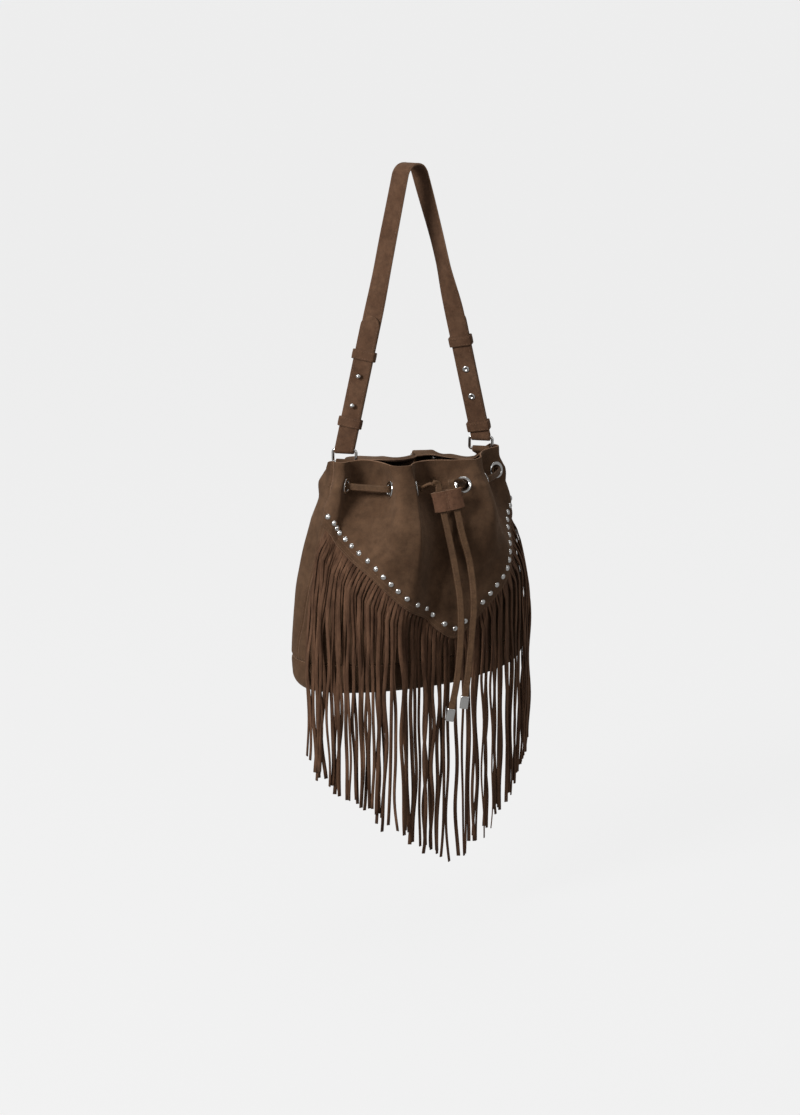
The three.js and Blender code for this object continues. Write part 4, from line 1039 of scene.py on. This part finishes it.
def leg_rows(side):
    """The strap's rows from a tail's tip, round its ring and up to the crown: middle, width, half width."""
    rows, half, full = [], PITCH / 2, STRAP_WIDTH / 2
    for back in (0.15, 0.6, 1.3, 2.4, 4, 6, 8, 10):
        narrow = math.sqrt(max(1 - ((10 - back) / 10.15) ** 2, 0.02))
        rows.append(leg_row(TAIL_LENGTH - back, half, side, full * narrow))
    for distance in np.linspace(TAIL_LENGTH - 12, SKEW_LENGTH, 46):
        rows.append(leg_row(distance, half, side))
    wrap = (RING_WIRE + STRAP_THICKNESS) / 2 + GAP
    for turn in range(0, 181, 12):
        around = LEG_OUT * wrap * math.cos(turn * DEG) - UP * wrap * math.sin(turn * DEG)
        rows.append((LEG_FOOT + around, BAR, full))
    for distance in np.linspace(SKEW_LENGTH, TAIL_LENGTH, 44):
        rows.append(leg_row(distance, -half, side))
    for i in range(1, 41):
        share = i / 40
        inward = -half * (1 - float(smooth(share * 1.6)))
        rows.append(leg_row(TAIL_LENGTH + (LEG_LENGTH - TAIL_LENGTH) * share, inward, side))
    last = rows[-1][0]
    top = sided(FOLD_MIDDLE, side) + UP * STRAP_THICKNESS / 2
    control = [last, last + unit(last - rows[-2][0]) * 6, top - FOLD_PATH * 10, top]
    for t in np.linspace(0, 1, 17)[1:]:
        r = 1 - t
        weights = [r ** 3, 3 * r ** 2 * t, 3 * r * t * t, t ** 3]
        slopes = [-3 * r ** 2, 3 * r ** 2 - 6 * r * t, 6 * r * t - 3 * t * t, 3 * t * t]
        middle = sum(w * p for w, p in zip(weights, control))
        heading = unit(sum(s * p for s, p in zip(slopes, control)))
        rows.append((middle, square_to(heading, FOLD_AZIMUTH), full))
    return rows


STRAP_STITCH_INSET, STITCH_GROOVE = 2.0, 0.14


def strap():
    rows = leg_rows("left") + [(m * TURNED, -w * TURNED, h) for m, w, h in leg_rows("right")[-2::-1]]
    middle, width, half = (np.array(column) for column in zip(*rows))
    heading = unit(np.gradient(middle, axis=0))
    normal = unit(np.cross(heading, width))
    shares = np.array([-1, -0.96, -0.88, -0.80, -0.72, -0.4, 0, 0.4, 0.72, 0.80, 0.88, 0.96, 1])
    # The stitch lines press a shallow groove into both faces
    rising = [-0.22, -0.02, 0.0, -STITCH_GROOVE, -0.01, 0.05]
    puff = np.array([*rising, 0.06, *rising[::-1]])
    edge = middle[:, None] + width[:, None] * (shares[None, :, None] * half[:, None, None])
    lift = (STRAP_THICKNESS / 2 + puff)[None, :, None]
    points, faces, kinds = thick_sheet(edge + normal[:, None] * lift, edge - normal[:, None] * lift)
    kinds = [0 if k == 2 else k for k in kinds]
    mesh = Mesh()
    mesh.add(points, [f[::-1] for f in faces], kinds)
    reach, keep = np.clip(half - STRAP_STITCH_INSET, 0.5, None), slice(4, len(middle) - 4)
    for face_side in (-1, 1):
        for s in (-1, 1):
            face = normal * face_side * (STRAP_THICKNESS / 2 - STITCH_GROOVE)
            line = middle + width * (s * reach)[:, None] + face
            stitches(mesh, line[keep], normal[keep] * face_side, 2.3, 1.0, 0.26, 2, 0.02)
    return mesh.dress("shoulder_strap", "_suede", "strap", [suede_strap, suede_cut, thread], "suede")


strap()


def strap_hole_marks():
    """The free adjusting hole on each tail, as a dimple in the darker suede: painted shade inside the hole.
    """
    mesh = Mesh()
    for side in ("left", "right"):
        middle, width, normal = leg_frame(FIRST_HOLE)
        points, faces = lathe([(2.3, 0.02), (2.0, 0.1), (1.7, -0.02), (1.6, -1.8), (0.02, -1.85)], 20)
        at = middle + normal * (PITCH / 2 + STRAP_THICKNESS / 2 + 0.04)
        mesh.add(put(points, sided(at, side), sided(normal, side)), faces)
    return mesh.build("strap_holes", "strap", [suede_painted_shade], slot="suede")


strap_hole_marks()


def keeper(name, side, at):
    """A band round both strap layers: soft corners, bulged face, a stitched line by each edge."""
    middle, width, normal = leg_frame(at)
    half_w, half_d, height = 10.3, PITCH / 2 + STRAP_THICKNESS / 2 + 0.3, 10.0
    loop = []
    for sx, sy, start in ((1, 1, 0), (-1, 1, 90), (-1, -1, 180), (1, -1, 270)):
        for step in (0, 22, 45, 68, 90):
            a = (start + step) * DEG
            loop.append((sx * half_w, sy * half_d, math.cos(a), math.sin(a)))
        if sx == sy:
            for x in np.linspace(half_w, -half_w, 7)[1:-1]:
                loop.append((sx * x, sy * half_d, 0, sy))
        else:
            for y in np.linspace(half_d, -half_d, 3)[1:-1]:
                loop.append((sx * half_w, sy * y, sx, 0))
    loop = np.array(loop)
    n = len(loop)
    below = [(0.25, -0.5), (0.9, -0.515), (1.75, -0.49), (2.0, -0.44), (1.88, -0.34), (2.06, -0.2)]
    profile = below + [(2.1, 0)] + [(out, -v) for out, v in below[::-1]]

    def band_row(out, v):
        x, y = loop[:, 0] + loop[:, 2] * out, loop[:, 1] + loop[:, 3] * out
        return middle + x[:, None] * width + y[:, None] * normal + LEG * v * height

    rows = [band_row(out, v) for out, v in profile]
    rows = np.array(rows + [rows[0]])
    # The band's inside against the strap takes the darker suede: painted shade.
    kinds = [0] * n * (len(profile) - 1) + [1] * n
    mesh = Mesh()
    mesh.add(sided(rows.reshape(-1, 3), side), grid_faces(len(rows), n, closed=True), kinds)
    for v in (-0.34, 0.34):
        line = band_row(1.9, v)
        out = loop[:, 2:3] * width + loop[:, 3:4] * normal
        line, out = np.vstack([line, line[:1]]), np.vstack([out, out[:1]])
        stitches(mesh, sided(line, side), sided(out, side), 1.9, 0.9, 0.24, 2, 0.0)
    return mesh.dress(name, "_suede", name, [suede_strap, suede_painted_shade, thread], "suede")


for side_name, lower, upper in (("left", 29, 100), ("right", 13, 109)):
    keeper("keeper_%s_lower" % side_name, side_name, lower)
    keeper("keeper_%s_upper" % side_name, side_name, upper)


# Rings, ball studs and their screws

def ring(side):
    half_w, half_h, corner = 12.5, 6.5, 2.6
    centre = sided(LEG_FOOT, side) - UP * half_h
    path = []
    for sx, sz, start in ((1, 1, 0), (-1, 1, 90), (-1, -1, 180), (1, -1, 270)):
        for step in range(0, 91, 15):
            a = (start + step) * DEG
            x = sx * (half_w - corner) + corner * math.cos(a)
            z = sz * (half_h - corner) + corner * math.sin(a)
            path.append(centre + BAR * x + UP * z)
    path = np.array(path)
    heading = unit(np.roll(path, -1, 0) - np.roll(path, 1, 0))
    side_way = np.tile(LEG_OUT, (len(path), 1))
    other = np.cross(heading, side_way)
    turn = np.arange(14) / 14 * 2 * math.pi
    section = RING_WIRE / 2 * np.stack([np.cos(turn), np.sin(turn)], -1)
    mesh = Mesh()
    mesh.add(*swept(path, section, side_way, other, capped=False))
    return mesh.dress("ring_" + side, "_metal", "ring_" + side, [nickel], "nickel")


ring("left")
ring("right")


def studs(side, which, place):
    middle, width, normal = leg_frame(FIRST_HOLE + place * HOLE_PITCH)
    face = LAYER_GAP / 2 + STRAP_THICKNESS
    radius, head = 2.7, -face - 0.3
    ball = face + 0.9 + radius * 0.85
    stud = [(0.02, -0.5), (3.8, -0.5), (3.8, 0.5), (1.5, 0.5), (1.5, face + 0.1), (2.3, face + 0.15),
            (2.35, face + 0.45), (1.6, face + 0.7)]
    stud += [(radius * math.cos(t * DEG), ball + radius * math.sin(t * DEG)) for t in range(-50, 90, 14)]
    stud += [(0.02, ball + radius)]
    screw = [(0.02, head - 0.55), (1.1, head - 0.55), (1.3, head - 0.85), (2.6, head - 0.95),
             (3.3, head - 0.75), (3.7, head - 0.3), (3.7, head), (1.2, head), (1.2, -0.8), (0.02, -0.8)]
    for kind, profile, metal in (("ball_stud", stud, nickel), ("stud_screw", screw, nickel_satin)):
        node = "%s_%s_%s" % (kind, side, which)
        points, faces = lathe(profile, 28)
        mesh = Mesh()
        mesh.add(put(points, sided(middle, side), sided(normal, side)), faces)
        mesh.dress(node, "_metal", "strap", [metal], "nickel")


for side_name in ("left", "right"):
    studs(side_name, "lower", 1)
    studs(side_name, "upper", 2)


# Ring tabs: suede folded over each ring's lower bar and sewn inside the wall

def ring_tab(side):
    bar = LEG_FOOT + UP * (CROWN_TO_BASE - 13.0)
    shares, half_width = np.linspace(-1, 1, 13), 8.75
    low, high, seam_place = 204.0, 222.0, 0.0132
    thickness = SUEDE
    radius = (RING_WIRE + thickness) / 2 + GAP

    def wall_row(height, depth):
        around = seam_place + shares * half_width / CLOTH_AROUND
        flat = plain_wall(around, height + 0 * around)
        return flat + normal_of(plain_wall, around, height) * (-SUEDE - 3 * GAP - depth)

    def bar_row(turn):
        return (bar + BAR * (shares * half_width)[:, None] + LEG_OUT * radius * math.cos(turn * DEG)
                + UP * radius * math.sin(turn * DEG))

    seat = wall_row(high, 0)[6] - bar
    lean = math.degrees(math.atan2(seat @ UP, seat @ LEG_OUT))
    near, far = thickness / 2, thickness * 1.5 + GAP
    rows = [wall_row(h, near) for h in np.linspace(low, high, 9)]
    first, last = bar_row(lean + 90), bar_row(lean + 270)
    rows += [wall_row(high, near) * (1 - t) + first * t for t in (0.25, 0.5, 0.75)]
    rows += [bar_row(lean + turn) for turn in range(90, 271, 15)]
    rows += [last * (1 - t) + wall_row(high, far) * t for t in (0.25, 0.5, 0.75)]
    rows += [wall_row(h, far) for h in np.linspace(high, low, 9)]
    grid = np.array(rows)
    along, cross = np.gradient(grid, axis=0), np.gradient(grid, axis=1)
    normal = unit(np.cross(along, cross))
    points, faces, kinds = thick_sheet(grid + normal * thickness / 2, grid - normal * thickness / 2)
    points = sided(lowered(points), side)
    mesh = Mesh()
    mesh.add(points, [f[::-1] for f in faces], [0 if k == 2 else k for k in kinds])
    return mesh.dress("ring_tab_" + side, "_suede", "bag", [suede, suede_cut], "suede")


ring_tab("left")
ring_tab("right")


# Floor, light and colour

def floor():
    made, nodes, links, shader = node_material("floor")
    set_inputs(shader, Base_Color=(0.05, 0.05, 0.05, 1), Roughness=0.95, Specular_IOR_Level=0.05,
               Emission_Color=(1, 1, 1, 1))
    seen = nodes.new("ShaderNodeLightPath").outputs["Is Camera Ray"]
    glow = nodes.new("ShaderNodeMapRange")
    set_inputs(glow, To_Min=0.22, To_Max=0.83)
    links.new(seen, glow.inputs["Value"])
    links.new(glow.outputs["Result"], shader.inputs["Emission Strength"])
    mesh = bpy.data.meshes.new("floor")
    size, z = 300.0, -0.80
    corners = [(-size, -size, z), (size, -size, z), (size, size, z), (-size, size, z)]
    mesh.from_pydata(corners, [], [(0, 1, 2, 3)])
    mesh.materials.append(made)
    plane = bpy.data.objects.new("floor", mesh)
    bpy.context.scene.collection.objects.link(plane)


floor()

world = bpy.data.worlds.new("world")
bpy.context.scene.world = world
world.use_nodes = True
set_inputs(world.node_tree.nodes["Background"], Color=(1, 1, 1, 1), Strength=0.25)


def softbox(name, location, target, size, power):
    data = bpy.data.lights.new(name, "AREA")
    data.shape = "RECTANGLE"
    data.size, data.size_y = size
    data.energy = power
    made = bpy.data.objects.new(name, data)
    made.location = location
    made.rotation_euler = (Vector(target) - Vector(location)).to_track_quat("-Z", "Y").to_euler()
    bpy.context.scene.collection.objects.link(made)


softbox("key", (-2.9, -0.9, 1.2), (0, 0, -0.4), (1.1, 1.1), 105)
softbox("front", (0.2, -3.0, 1.4), (0, 0, -0.4), (1.6, 1.0), 10)
softbox("top", (0.3, 0.6, 2.0), (0, 0, -0.3), (1.2, 1.2), 14)

bpy.context.scene.view_settings.view_transform = "Standard"
